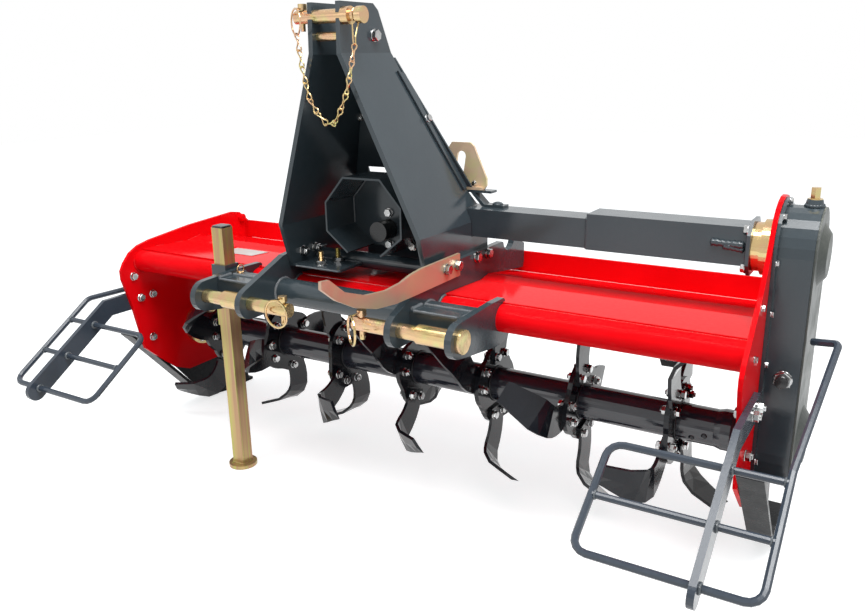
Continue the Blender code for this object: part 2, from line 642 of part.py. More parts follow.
def bent_point(u, v, lift, side):
    """Place a point of the flat blank, lifted off its middle plane, on the bent blade."""
    skew, turn = radians(BEND_SKEW), radians(BEND_TURN)
    travel = u * cos(skew) - v * sin(skew)
    along_bend = u * sin(skew) + v * cos(skew)
    start = BEND_START * cos(skew)
    beyond = travel - start
    a = min(max(beyond / BEND_R, 0.0), turn)
    rest = max(beyond - BEND_R * turn, 0.0)
    if beyond > 0:
        travel = start + BEND_R * sin(a) + rest * cos(a)
    sideways = FLANGE_T / 2 - 0.001 + BLADE_T / 2 + BEND_R * (1 - cos(a)) + rest * sin(a)
    travel += lift * sin(a)
    sideways -= lift * cos(a)
    y = BLADE_ROOT_R + travel * cos(skew) + along_bend * sin(skew)
    z = -travel * sin(skew) + along_bend * cos(skew)
    shrink = min(1.0, BLADE_TIP_R / hypot(y, z))
    return (side * sideways, y * shrink, z * shrink)


def blade(side, turn):
    """One blade: a strip of three points across, on both faces of the bent blank."""
    across = (-0.5, 0.0, 0.5)
    corners = []
    for u, v, heading, width in blank_line():
        for lift in (BLADE_T / 2, -BLADE_T / 2):
            for share in across:
                corners.append(bent_point(u + sin(heading) * width * share, v + cos(heading) * width * share,
                                          lift, side))
    ring = [0, 1, 2, 5, 4, 3]
    count = len(corners) // 6
    faces = [ring, [6 * count - 6 + k for k in ring[::-1]]]
    for s in range(count - 1):
        for a, b in zip(ring, ring[1:] + ring[:1]):
            faces.append((6 * s + a, 6 * s + 6 + a, 6 * s + 6 + b, 6 * s + b))
    mesh = bpy.data.meshes.new("blade")
    mesh.from_pydata(corners, [], faces)
    work = bmesh.new()
    work.from_mesh(mesh)
    bmesh.ops.triangulate(work, faces=work.faces)
    bmesh.ops.recalc_face_normals(work, faces=work.faces)
    bmesh.ops.rotate(work, matrix=Matrix.Rotation(turn, 3, "X"), verts=work.verts)
    work.to_mesh(mesh)
    work.free()
    return loose(mesh)


def lobed(left_turn, right_turn):
    """Outline of a flange plate, drawn out where the blades are bolted on."""
    outline = []
    for i in range(FINE_ROUND):
        a = 2 * pi * i / FINE_ROUND
        lobe = max(0.0, cos(2 * (a - radians(left_turn))), cos(2 * (a - radians(right_turn))))
        r = FLANGE_R + FLANGE_LOBE * lobe
        outline.append((r * cos(a), r * sin(a)))
    return outline


# each flange has two blades to the left and two to the right; columns: angles of their shanks
FLANGES = [(-100, -10), (-61, -165), (-56, -130), (-20, -112), (-17, -90), (-170, -75), (-132, -47)]
for number, (left_turn, right_turn) in enumerate(FLANGES):
    x = FLANGE_FIRST_X + FLANGE_PITCH * number
    disc = sheet("YZ", lobed(left_turn, right_turn), -FLANGE_T / 2, FLANGE_T / 2,
                 [circle((0, 0), ROTOR_R + GAP, FINE_ROUND)])
    blades = []
    for half_turn in (0, 180):
        blades.append(blade(-1, radians(left_turn + half_turn)))
        blades.append(blade(1, radians(right_turn + half_turn)))
    wheel = smooth(union(disc, blades), 40)
    for vertex in wheel.data.vertices:
        vertex.co.x += x
        vertex.co.y += ROTOR_Y
        vertex.co.z += ROTOR_Z
    keep(wheel, "blade_flange_%d" % (number + 1), BLACK)

# rotor bearings on the inner faces of the side plates
BEARING_R = 0.057
for tag, near, far, step in (("left", LEFT_IN_X + GAP, -0.683, -0.675), ("right", RIGHT_IN_X - GAP, 0.757, 0.7475)):
    low, high = sorted((near, far))
    ring = rod("X", low, high, BEARING_R, (ROTOR_Y, ROTOR_Z), FINE_ROUND)
    low, high = sorted((near, step))
    boss = rod("X", low, high, 0.032, (ROTOR_Y, ROTOR_Z))
    bore = rod("X", *sorted((near - (far - near), step + (step - near))), STUB_R + 0.0004, (ROTOR_Y, ROTOR_Z))
    keep(smooth(cut(union(ring, [boss]), [bore])), "rotor_bearing_" + tag, ZINC)

# gearbox behind the mast: casting with input boss in front and output neck to the right
INPUT_Z = 0.578
GEARBOX_HALF_W = 0.080
GEARBOX_FRONT_Y = DRIVE_Y - 0.050
GEARBOX_REAR_Y = DRIVE_Y + 0.090
GEARBOX_LOW_Z = 0.492
GEARBOX_TOP_Z = DRIVE_Z + 0.074
BOSS_R = 0.046
NECK_R = 0.040
body = box((-GEARBOX_HALF_W, GEARBOX_FRONT_Y, GEARBOX_LOW_Z), (GEARBOX_HALF_W, GEARBOX_REAR_Y, GEARBOX_TOP_Z))
boss = rod("Y", GEARBOX_FRONT_Y - 0.023, GEARBOX_FRONT_Y + 0.015, BOSS_R, (0.0, INPUT_Z))
neck = rod("X", GEARBOX_HALF_W - 0.020, BEAM_LEFT_X - 0.0005, NECK_R, (DRIVE_Y, DRIVE_Z))
keep(smooth(union(body, [boss, neck])), "gearbox", SLATE)

# gearbox front plate between the mast sides
FRONT_PLATE_Y = 0.254
keep(sheet("XZ", [(-0.118, 0.540), (0.118, 0.540), (0.118, 0.640), (0.090, 0.680), (-0.090, 0.680), (-0.118, 0.640)],
           FRONT_PLATE_Y, FRONT_PLATE_Y + 0.0075, [circle((0.0, INPUT_Z), 0.022)]), "gearbox_front_plate", SLATE)

# input shaft with its plastic cap, turning together
SHAFT_R = 0.0175
CAP_R = 0.0215
keep(smooth(rod("Y", 0.218, 0.2617, SHAFT_R, (0.0, INPUT_Z))), "input_shaft", ZINC)
cap = rod("Y", 0.212, 0.2525, CAP_R, (0.0, INPUT_Z))
hollow = rod("Y", 0.2175, 0.260, SHAFT_R + GAP, (0.0, INPUT_Z))
keep(smooth(cut(cap, [hollow])), "input_shaft_cap", PLASTIC)

# shield folded round the input shaft
SHIELD_T = 0.004
SHIELD_FOLDS = [(-0.040, 0.542), (-0.092, 0.583), (-0.092, 0.642), (-0.045, 0.695), (0.045, 0.695),
                (0.092, 0.642), (0.092, 0.583), (0.040, 0.542)]
shield_skin = bpy.data.meshes.new("shield")
shield_skin.from_pydata(
    [(x, y, z) for x, z in SHIELD_FOLDS for y in (0.158, FRONT_PLATE_Y - GAP)], [],
    [(2 * i, 2 * i + 1, 2 * i + 3, 2 * i + 2) for i in range(len(SHIELD_FOLDS) - 1)])
shield = loose(shield_skin)
fold = shield.modifiers.new("gauge", "SOLIDIFY")
fold.thickness = SHIELD_T
fold.offset = -1.0
fold.use_even_offset = True
keep(baked(shield), "input_shield", SLATE)

# thin cross tube and grease point plate in the mast's foot
mast_tube = rod("X", -MAST_LOW_X + GAP, MAST_LOW_X - GAP, MAST_TUBE_R, (MAST_TUBE_Y, MAST_TUBE_Z))
keep(smooth(mast_tube), "mast_cross_tube", SLATE)
keep(box((-0.165, 0.128, 0.5040), (-0.040, MAST_TUBE_Y - MAST_TUBE_R - GAP, 0.5090)), "grease_plate", SLATE)

# drive beam from gearbox to side case, stepped up over its right part
BEAM_STEP_X = 0.430
BEAM_RIGHT_X = 0.7275
BEAM_STEP = 0.010
low_z, high_z = DRIVE_Z - BEAM_H / 2, DRIVE_Z + BEAM_H / 2
beam = box((BEAM_LEFT_X, DRIVE_Y - BEAM_D / 2, low_z), (BEAM_RIGHT_X, DRIVE_Y + BEAM_D / 2, high_z))
doubler = box((BEAM_STEP_X, DRIVE_Y - BEAM_D / 2 - 0.003, low_z - 0.002),
              (BEAM_RIGHT_X - 0.0002, DRIVE_Y + BEAM_D / 2 + 0.003, high_z + BEAM_STEP))
keep(union(beam, [doubler]), "drive_beam", SLATE)
END_PLATE_T = 0.0065
END_HALF = 0.049
keep(sheet("YZ", [(DRIVE_Y + a * END_HALF, DRIVE_Z + b * END_HALF) for a, b in
                  ((-1, -0.55), (-0.55, -1), (0.55, -1), (1, -0.55), (1, 0.55), (0.55, 1), (-0.55, 1), (-1, 0.55))],
           BEAM_RIGHT_X + GAP, BEAM_RIGHT_X + GAP + END_PLATE_T), "beam_end_plate", SLATE)
HOUSING_R = 0.050
housing = rod("X", BEAM_RIGHT_X + 2 * GAP + END_PLATE_T, RIGHT_IN_X - GAP, HOUSING_R - 0.006, (DRIVE_Y, DRIVE_Z),
              FINE_ROUND)
collar = rod("X", RIGHT_IN_X - GAP - 0.020, RIGHT_IN_X - GAP, HOUSING_R, (DRIVE_Y, DRIVE_Z), FINE_ROUND)
keep(smooth(union(housing, [collar])), "beam_bearing", ZINC)

# folded foot on the beam and the slotted lever plate standing on it
FOOT_Z = high_z + GAP
FOOT_T_Z = 0.005
TABLE_Z = 0.6560
keep(sheet("XZ", [(0.184, FOOT_Z), (0.234, FOOT_Z), (0.234, FOOT_Z + FOOT_T_Z), (0.189, FOOT_Z + FOOT_T_Z),
                  (0.165, TABLE_Z), (0.206, TABLE_Z), (0.206, TABLE_Z + FOOT_T_Z), (0.137, TABLE_Z + FOOT_T_Z),
                  (0.137, TABLE_Z), (0.157, TABLE_Z)], 0.3345, 0.3600), "lever_foot", SLATE)
LEVER_LOW_Z = TABLE_Z + FOOT_T_Z + GAP
LEVER_Y = 0.3450
LEVER_T = 0.006
lever_slot = arc((0.1290, 0.7300), 0.0105, 0, 180, 8) + arc((0.1235, 0.6950), 0.0105, 180, 360, 8)
lever = sheet("XZ", [(0.1400, LEVER_LOW_Z), (0.1830, LEVER_LOW_Z), (0.1890, 0.6700), (0.1890, 0.6850),
                     (0.1590, 0.7510), (0.1500, 0.7585), (0.1060, 0.7585), (0.0980, 0.7470), (0.0980, 0.7080)],
              LEVER_Y, LEVER_Y + LEVER_T, [lever_slot])
keep(union(lever, [box((0.1430, 0.3350, LEVER_LOW_Z), (0.1820, LEVER_Y + 0.002, LEVER_LOW_Z + LEVER_T))]),
     "lever_plate", ZINC)

# side drive case: flange, pressed box and outer bulges
CASE_IN_X = RIGHT_IN_X + SIDE_T + GAP


def stadium(radius, steps=14):
    return (arc((CASE_Y, CASE_TOP_Z), radius, 0, 180, steps)
            + arc((CASE_Y, CASE_LOW_Z), radius, 180, 360, steps))


FLANGE_EDGE = 0.012
CASE_FLANGE_T = 0.006
flange = sheet("YZ", stadium(CASE_R + FLANGE_EDGE), CASE_IN_X, CASE_IN_X + CASE_FLANGE_T)
shell = sheet("YZ", stadium(CASE_R), CASE_IN_X + 0.001, CASE_IN_X + CASE_W)
keep(union(flange, [shell]), "side_case", SLATE)
COVER_IN_X = CASE_IN_X + CASE_W + GAP
bulges = []
base = sheet("YZ", stadium(CASE_R - 0.001), COVER_IN_X, COVER_IN_X + 0.003)
for centre_z, radius in ((CASE_TOP_Z - 0.005, 0.058), (CASE_LOW_Z + 0.010, 0.064)):
    bulges.append(rod("X", COVER_IN_X + 0.001, COVER_IN_X + 0.015, radius, (CASE_Y, centre_z), FINE_ROUND,
                      end_radius=radius - 0.020))
keep(smooth(union(base, bulges)), "case_cover", SLATE)
stem = rod("Z", CASE_TOP_Z + CASE_R - 0.0005, CASE_TOP_Z + CASE_R + 0.013, 0.0125, (CASE_IN_X + 0.045, CASE_Y), 24)
nut = rod("Z", CASE_TOP_Z + CASE_R + 0.013, CASE_TOP_Z + CASE_R + 0.032, 0.0085, (CASE_IN_X + 0.045, CASE_Y), 6)
seat = sheet("YZ", stadium(CASE_R + GAP, 40), CASE_IN_X, CASE_IN_X + 0.090)
keep(cut(union(stem, [nut]), [seat]), "case_breather", ZINC)

# skids: web on the outside of each side plate and a runner turned up in front
SKID_PATH = [(0.110, 0.262), (0.145, 0.224), (0.290, 0.060), (0.325, 0.030), (0.372, 0.010), (0.420, SKID_T / 2),
             (0.520, SKID_T / 2)]


def ribbon(path, thickness):
    """Outline of a strip of even thickness along a path."""
    left, right = [], []
    for i, (y, z) in enumerate(path):
        a = Vector(path[max(i - 1, 0)])
        b = Vector(path[min(i + 1, len(path) - 1)])
        run = (b - a).normalized()
        side = Vector((-run.y, run.x)) * thickness / 2
        left.append((y + side.x, z + side.y))
        right.append((y - side.x, z - side.y))
    return left + right[::-1]


WEB_T = 0.006
WEB_OUTLINE = [(0.215, 0.160), (0.292, 0.066), (0.327, 0.036), (0.374, 0.015), (0.420, 0.006), (0.505, 0.006),
               (0.480, 0.130), (0.430, 0.1415), (0.260, 0.1415)]
for side, near, tag in ((-1, LEFT_IN_X - SIDE_T - GAP, "left"), (1, RIGHT_IN_X + SIDE_T + GAP, "right")):
    low, high = sorted((near, near + side * SKID_W))
    runner = sheet("YZ", ribbon(SKID_PATH, SKID_T), low, high)
    web = sheet("YZ", WEB_OUTLINE, *sorted((near, near + side * WEB_T)))
    keep(union(runner, [web]), "skid_" + tag, BLACK)

# wheel guards: flat bar with a welded ladder of round bar
FLAT_LINE = [(0.205, 0.3515), (0.050, 0.3515), (-0.168, 0.2095)]
RUNGS = [(0.004, 0.3215), (-0.078, 0.268), (-0.160, 0.2145)]
for side, near, tag in ((-1, LEFT_IN_X - SIDE_T - GAP, "left"), (1, RIGHT_IN_X + SIDE_T + GAP, "right")):
    low, high = sorted((near, near + side * GUARD_FLAT_T))
    flat = sheet("YZ", ribbon(FLAT_LINE, GUARD_FLAT_W), low, high)
    nose = rod("X", low, high, GUARD_FLAT_W / 2 - 0.0002, FLAT_LINE[-1], 24)
    middle = near + side * GUARD_FLAT_T / 2
    inner_x = middle - side * GUARD_IN
    outer_x = middle + side * GUARD_OUT
    bars = []
    top, mid, bottom = RUNGS
    if side > 0:
        tail = [((outer_x + 0.022, 0.262, 0.462), 0.012), ((CASE_IN_X + CASE_W + 0.004 + BAR_R, 0.285, 0.452), 0)]
    else:
        tail = [((outer_x, 0.062, 0.360), 0.020), ((near - BAR_R - 0.001, 0.135, 0.384), 0)]
    loop = [((middle, *top), 0), ((inner_x, *top), 0.024), ((inner_x, *bottom), 0.024), ((outer_x, *bottom), 0.024)]
    if side > 0:
        loop += [((outer_x, 0.020, 0.332), 0.0)]
    loop += tail
    bars.append(bent_bar(rounded(loop), BAR_R))
    for y, z in (top, mid):
        a, b = sorted((outer_x, inner_x if (y, z) == mid else middle - side * 0.002))
        bars.append(rod("X", a, b, BAR_R - 0.0003, (y, z), 10))
    keep(union(flat, [nose] + bars), "guard_" + tag, SLATE)

# parking stand: square guide on the outer hitch plate, leg with foot, locking plunger
STAND_PIN_Z = 0.474
STAND_PIN_R = 0.005
GUIDE_LOW_Z = 0.452
GUIDE_TOP_Z = 0.497
half_in = LEG_SIDE / 2 + GUIDE_PLAY
half_out = half_in + GUIDE_WALL
leg_x = -(OUTER_IN_X + OUTER_T + GAP + half_out)


def square(half):
    return [(leg_x - half, LEG_Y - half), (leg_x + half, LEG_Y - half), (leg_x + half, LEG_Y + half),
            (leg_x - half, LEG_Y + half)]


guide = sheet("XY", square(half_out), GUIDE_LOW_Z, GUIDE_TOP_Z, [square(half_in)])
through = rod("Y", LEG_Y - 0.05, LEG_Y, STAND_PIN_R + GAP, (leg_x, STAND_PIN_Z), 16)
keep(cut(guide, [through]), "stand_guide", SLATE)
leg = box((leg_x - LEG_SIDE / 2, LEG_Y - LEG_SIDE / 2, FOOT_T - 0.001),
          (leg_x + LEG_SIDE / 2, LEG_Y + LEG_SIDE / 2, LEG_TOP_Z))
foot = rod("Z", 0.0, FOOT_T, FOOT_R, (leg_x, LEG_Y), FINE_ROUND)
keep(union(leg, [foot]), "stand_leg", ZINC)
plunger = rod("Y", LEG_Y - 0.036, LEG_Y - half_in, STAND_PIN_R, (leg_x, STAND_PIN_Z), 16)
PULL_R = 0.013
pull = [(leg_x + PULL_R * sin(2 * pi * i / 16), LEG_Y - 0.033, STAND_PIN_Z - PULL_R + PULL_R * cos(2 * pi * i / 16))
        for i in range(16)]
keep(union(plunger, [bent_bar(pull, 0.0016, closed=True, sides=1)]), "stand_plunger", ZINC)
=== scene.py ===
"""Rotary tiller: paint, plating, bolts, welds and small fittings around the CAD frame.
Metres, +X towards the drive case, -Y towards the tractor, +Z up."""
from math import cos, pi, radians, sin

import bmesh
import bpy
from mathutils import Matrix, Vector


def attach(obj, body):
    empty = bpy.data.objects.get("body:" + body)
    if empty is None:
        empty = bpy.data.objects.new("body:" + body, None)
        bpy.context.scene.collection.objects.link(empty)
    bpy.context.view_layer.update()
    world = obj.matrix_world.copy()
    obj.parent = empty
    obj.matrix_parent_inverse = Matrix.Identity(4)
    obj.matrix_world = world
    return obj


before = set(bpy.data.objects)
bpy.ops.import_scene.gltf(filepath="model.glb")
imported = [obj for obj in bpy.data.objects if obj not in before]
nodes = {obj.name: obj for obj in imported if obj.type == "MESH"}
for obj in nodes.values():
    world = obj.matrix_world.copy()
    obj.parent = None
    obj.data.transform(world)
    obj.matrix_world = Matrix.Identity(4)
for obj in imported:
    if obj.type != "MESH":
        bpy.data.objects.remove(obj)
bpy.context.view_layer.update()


# Side plates: 8 mm steel, flame-cut, sprayed gloss red in two-pack paint. The film shows fine
# orange peel, a slow drift of tone, small scuffs and a little dust on faces that look up.
def add(tree, kind, **values):
    """New node; values whose names are inputs set the socket, the others set the node."""
    node = tree.nodes.new(kind)
    for name, value in values.items():
        plain = name.replace("_", " ")
        if plain in node.inputs:
            node.inputs[plain].default_value = value
        else:
            setattr(node, name, value)
    return node


def feed(tree, socket, value):
    """Link an output to a socket, or write a plain value into it."""
    if isinstance(value, bpy.types.NodeSocket):
        tree.links.new(value, socket)
    else:
        socket.default_value = value


def noise(tree, spot, scale, detail=2.0, rough=0.5):
    """Fractal noise from 0 to 1 at a number of cells per metre."""
    node = add(tree, "ShaderNodeTexNoise", Detail=detail, Roughness=rough)
    feed(tree, node.inputs["Vector"], spot)
    feed(tree, node.inputs["Scale"], scale)
    return node.outputs["Fac"]


def span(tree, value, low, high, to_low=0.0, to_high=1.0):
    """Map a value from one range to another, clamped."""
    node = tree.nodes.new("ShaderNodeMapRange")
    for name, setting in (("Value", value), ("From Min", low), ("From Max", high),
                          ("To Min", to_low), ("To Max", to_high)):
        feed(tree, node.inputs[name], setting)
    return node.outputs["Result"]


def mix(tree, factor, a, b):
    """Mix two colours."""
    node = add(tree, "ShaderNodeMix", data_type="RGBA")
    for slot, value in ((0, factor), (6, a), (7, b)):
        feed(tree, node.inputs[slot], value)
    return node.outputs[2]


def calc(tree, kind, a, b):
    """Sum, product or larger of two values."""
    node = add(tree, "ShaderNodeMath", operation=kind)
    feed(tree, node.inputs[0], a)
    feed(tree, node.inputs[1], b)
    return node.outputs[0]


def film_group(name, colours, amounts):
    """Empty node group of a film of paint or plating; gives the tree, its inputs and its outputs."""
    tree = bpy.data.node_groups.new(name, "ShaderNodeTree")
    sockets = [(label, "INPUT", "Color") for label in colours]
    sockets += [(label, "INPUT", "Float") for label in amounts]
    sockets += [("Color", "OUTPUT", "Color"), ("Roughness", "OUTPUT", "Float"), ("Height", "OUTPUT", "Float")]
    for label, way, kind in sockets:
        tree.interface.new_socket(name=label, in_out=way, socket_type="NodeSocket" + kind)
    return tree, tree.nodes.new("NodeGroupInput").outputs, tree.nodes.new("NodeGroupOutput").inputs


def surface(name, film, values, bump_m, metallic=0.0, specular=0.5):
    """Principled material whose colour, roughness and fine height come from a film group."""
    mat = bpy.data.materials.new(name)
    mat.use_nodes = True
    tree = mat.node_tree
    shader = tree.nodes["Principled BSDF"]
    layer = add(tree, "ShaderNodeGroup", node_tree=film)
    for label, value in values.items():
        layer.inputs[label].default_value = (*value, 1.0) if isinstance(value, tuple) else value
    bump = add(tree, "ShaderNodeBump", Distance=bump_m)
    tree.links.new(layer.outputs["Height"], bump.inputs["Height"])
    tree.links.new(layer.outputs["Color"], shader.inputs["Base Color"])
    tree.links.new(layer.outputs["Roughness"], shader.inputs["Roughness"])
    tree.links.new(bump.outputs["Normal"], shader.inputs["Normal"])
    shader.inputs["Metallic"].default_value = metallic
    shader.inputs["Specular IOR Level"].default_value = specular
    return mat


paint_film, given, result = film_group("paint_film", ("Paint", "Drift", "Dust"),
                                       ("Dust Amount", "Peel Scale", "Rough Low", "Rough High"))
spot = paint_film.nodes.new("ShaderNodeTexCoord").outputs["Object"]
drift = span(paint_film, noise(paint_film, spot, 7.0, 3.0), 0.35, 0.65)
scuff = span(paint_film, noise(paint_film, spot, 28.0, 5.0, 0.6), 0.40, 0.90)
speck = span(paint_film, noise(paint_film, spot, 120.0, 5.0, 0.7), 0.42, 0.70)
facing = paint_film.nodes.new("ShaderNodeSeparateXYZ")
feed(paint_film, facing.inputs[0], paint_film.nodes.new("ShaderNodeNewGeometry").outputs["Normal"])
lying = span(paint_film, facing.outputs["Z"], 0.55, 1.0, 0.15, 1.0)
dust = calc(paint_film, "MULTIPLY", calc(paint_film, "MULTIPLY", lying, speck), given["Dust Amount"])
clean = mix(paint_film, drift, given["Paint"], given["Drift"])
dull = calc(paint_film, "ADD", scuff, dust)
feed(paint_film, result["Color"], mix(paint_film, dust, clean, given["Dust"]))
feed(paint_film, result["Roughness"], span(paint_film, dull, 0.0, 1.0, given["Rough Low"], given["Rough High"]))
feed(paint_film, result["Height"], noise(paint_film, spot, given["Peel Scale"], 1.5))

red = surface("red_gloss", paint_film, {
    "Paint": (0.80, 0.0030, 0.007), "Drift": (0.74, 0.0022, 0.005), "Dust": (0.55, 0.20, 0.16),
    "Dust Amount": 0.04, "Peel Scale": 320.0, "Rough Low": 0.07, "Rough High": 0.16}, 0.00006, specular=0.02)


def dress(material, names, edge=0.0):
    """Give CAD nodes a material, and where an edge width is given break their cut edges."""
    for name in names:
        nodes[name].data.materials.clear()
        nodes[name].data.materials.append(material)
        if edge:
            broken = nodes[name].modifiers.new("broken_edge", "BEVEL")
            broken.width = edge
            broken.segments = 2
            broken.limit_method = "ANGLE"
            broken.angle_limit = radians(40)


dress(red, ("side_plate_left", "side_plate_right"), 0.0010)

# Bolts in the side plates: bright zinc steel, heads on the inside, nuts and thread ends outside.
# They hold guard and skid on each side; three small screws sit higher up, beside the front tube.
HITCH = Vector((-0.0461, -0.1680, 0.0))  # middle between the lower pins; places below start from it

zinc_film, given, result = film_group("zinc_film", ("Main", "Warm", "Cool"),
                                      ("Cell", "Stretch", "Rough Low", "Rough High"))
spot = zinc_film.nodes.new("ShaderNodeTexCoord").outputs["Object"]
axes = zinc_film.nodes.new("ShaderNodeSeparateXYZ")
feed(zinc_film, axes.inputs[0], spot)
joined = zinc_film.nodes.new("ShaderNodeCombineXYZ")
feed(zinc_film, joined.inputs[0], axes.outputs[0])
feed(zinc_film, joined.inputs[1], axes.outputs[1])
feed(zinc_film, joined.inputs[2], calc(zinc_film, "MULTIPLY", axes.outputs[2], given["Stretch"]))
drawn = joined.outputs[0]
fine_cell = calc(zinc_film, "MULTIPLY", given["Cell"], 2.3)
broad = span(zinc_film, noise(zinc_film, drawn, given["Cell"], 2.0), 0.38, 0.62)
tinge = span(zinc_film, noise(zinc_film, drawn, fine_cell, 3.0), 0.48, 0.70)
stain = span(zinc_film, noise(zinc_film, spot, 60.0, 3.0), 0.35, 0.75)
warmed = mix(zinc_film, broad, given["Main"], given["Warm"])
feed(zinc_film, result["Color"], mix(zinc_film, tinge, warmed, given["Cool"]))
feed(zinc_film, result["Roughness"], span(zinc_film, stain, 0.0, 1.0, given["Rough Low"], given["Rough High"]))
feed(zinc_film, result["Height"], noise(zinc_film, drawn, 600.0, 2.0))

bright_zinc = surface("bright_zinc", zinc_film, {
    "Main": (0.50, 0.50, 0.49), "Warm": (0.38, 0.38, 0.38), "Cool": (0.62, 0.63, 0.64),
    "Cell": 40.0, "Stretch": 1.0, "Rough Low": 0.16, "Rough High": 0.32}, 0.00001, metallic=1.0)


def skin(work, rings, endless=False):
    """Faces between rings of vertices; both ends are closed unless the last ring meets the first."""
    for low, high in zip(rings, rings[1:] + rings[:1] if endless else rings[1:]):
        for i in range(len(low)):
            work.faces.new((low[i], low[i - 1], high[i - 1], high[i]))
    if not endless:
        work.faces.new(rings[0])
        work.faces.new(rings[-1][::-1])


def turned(work, place, axis, profile, sides, spin=0.0):
    """Closed body turned about an axis from (radius, height) pairs; six sides make a hexagon."""
    lie = Vector(axis).to_track_quat("Z", "Y").to_matrix()
    angles = [spin + 2 * pi * i / sides for i in range(sides)]
    skin(work, [[work.verts.new(Vector(place) + lie @ Vector((r * cos(a), r * sin(a), h))) for a in angles]
                for r, h in profile])


def washer(work, place, axis, across):
    """Plain washer with a broken edge, for a bolt of a width across flats."""
    turned(work, place, axis, [(0.64 * across, 0.0), (0.64 * across, 0.09 * across),
                               (0.60 * across, 0.125 * across)], 28)


def bolt_head(work, place, axis, across, spin):
    """Washer and chamfered hexagon head; all sizes follow the width across flats."""
    corner = across / 2 / cos(pi / 6)
    top = 0.125 * across
    washer(work, place, axis, across)
    turned(work, place, axis, [(0.475 * across, top), (0.475 * across, top + 0.02 * across)], 24)
    turned(work, place, axis, [(corner, top + 0.02 * across), (corner, top + 0.37 * across),
                               (0.90 * corner, top + 0.43 * across)], 6, spin)


def nut_end(work, place, axis, across, spin):
    """Washer, chamfered nut and the threaded end standing out of it."""
    corner = across / 2 / cos(pi / 6)
    low, top = 0.125 * across, 0.68 * across
    washer(work, place, axis, across)
    turned(work, place, axis, [(0.90 * corner, low), (corner, low + 0.05 * across),
                               (corner, top - 0.05 * across), (0.90 * corner, top)], 6, spin)
    crest, root, pitch, ridges = 0.33 * across, 0.29 * across, 0.09 * across, 3
    thread = [(crest, top - pitch)]
    for i in range(ridges):
        thread += [(root, top + pitch * (i - 0.5)), (crest, top + pitch * i)]
    turned(work, place, axis, thread + [(root * 0.9, top + pitch * (ridges - 0.5))], 16)


def finished(work, name, body, material, sharp=32):
    """Turn a bmesh into one piece that rides on a body."""
    bmesh.ops.recalc_face_normals(work, faces=work.faces)
    mesh = bpy.data.meshes.new(name)
    work.to_mesh(mesh)
    work.free()
    mesh.shade_smooth()
    mesh.set_sharp_from_angle(angle=radians(sharp))
    mesh.materials.append(material)
    piece = bpy.data.objects.new(name, mesh)
    bpy.context.scene.collection.objects.link(piece)
    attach(piece, body)


def bolts(name, body, rows):
    """Bolts as one mesh; columns: head or nut, place from the hitch, axis, width across flats."""
    work = bmesh.new()
    for i, (kind, place, axis, across) in enumerate(rows):
        make = bolt_head if kind == "head" else nut_end
        make(work, HITCH + Vector(place), axis, across, 0.7 * i)
    finished(work, name, body, bright_zinc)


PLATE_M10, PLATE_M6, GUARD_BAR = 0.016, 0.010, 0.0114
LEFT_INNER, LEFT_OUTER, RIGHT_INNER, RIGHT_OUTER = -0.699, -0.7071, 0.770, 0.7781
GUARD_BOLTS = ((0.141, 0.357), (0.179, 0.358))
LEFT_BOLTS = ((0.127, 0.416), (0.164, 0.245)) + GUARD_BOLTS
RIGHT_BOLTS = ((0.175, 0.268),) + GUARD_BOLTS
rows = []
for places, inner, outer, way in ((LEFT_BOLTS, LEFT_INNER, LEFT_OUTER, -1),
                                  (RIGHT_BOLTS, RIGHT_INNER, RIGHT_OUTER, 1)):
    for y, z in places:
        bar = GUARD_BAR if (y, z) in GUARD_BOLTS else 0.0
        rows.append(("head", (inner, y, z), (-way, 0, 0), PLATE_M10))
        rows.append(("nut", (outer + way * bar, y, z), (way, 0, 0), PLATE_M10))
bolts("side_plate_bolts", "machine", rows)
bolts("side_plate_screws", "machine", [
    ("head", (RIGHT_OUTER, 0.174, 0.4426), (1, 0, 0), PLATE_M6),
    ("head", (RIGHT_OUTER, 0.197, 0.5246), (1, 0, 0), PLATE_M6),
    ("head", (LEFT_OUTER, 0.174, 0.4426), (-1, 0, 0), PLATE_M6)])

# Hood, front tube and rear rail: folded 4 mm sheet between the side plates, welded to a round
# tube in front and an upright rail behind, with a small round end in each rear corner. All of it
# is sprayed in the same red as the side plates.
dress(red, ("hood_sheet", "rear_rail"), 0.0006)
dress(red, ("front_tube",))


def bead(work, path, radius):
    """Weld bead: a six-sided tube along a path whose radius ripples like laid drops."""
    spots = [HITCH + Vector(p) for p in path]
    line = [spots[0]]
    for a, b in zip(spots, spots[1:]):
        steps = max(1, round((b - a).length / (radius * 0.45)))
        line += [a.lerp(b, i / steps) for i in range(1, steps + 1)]
    side = (line[1] - line[0]).orthogonal().normalized()
    rings = []
    for i, point in enumerate(line):
        run = (line[min(i + 1, len(line) - 1)] - line[max(i - 1, 0)]).normalized()
        side = (side - run * side.dot(run)).normalized()
        lift = run.cross(side)
        r = radius * (1.0 + 0.15 * sin(2.1 * i) + 0.08 * sin(0.43 * i + 1.0))
        if i in (0, len(line) - 1):
            r *= 0.4
        rings.append([work.verts.new(point + (side * cos(a) + lift * sin(a)) * r)
                      for a in (2 * pi * k / 6 for k in range(6))])
    skin(work, rings)


def arc_x(x, y, z, radius, start, stop, steps=24):
    """Points of an arc in a plane of constant X, angles in degrees from +Y towards +Z."""
    angles = [radians(start + (stop - start) * i / steps) for i in range(steps + 1)]
    return [(x, y + radius * cos(a), z + radius * sin(a)) for a in angles]


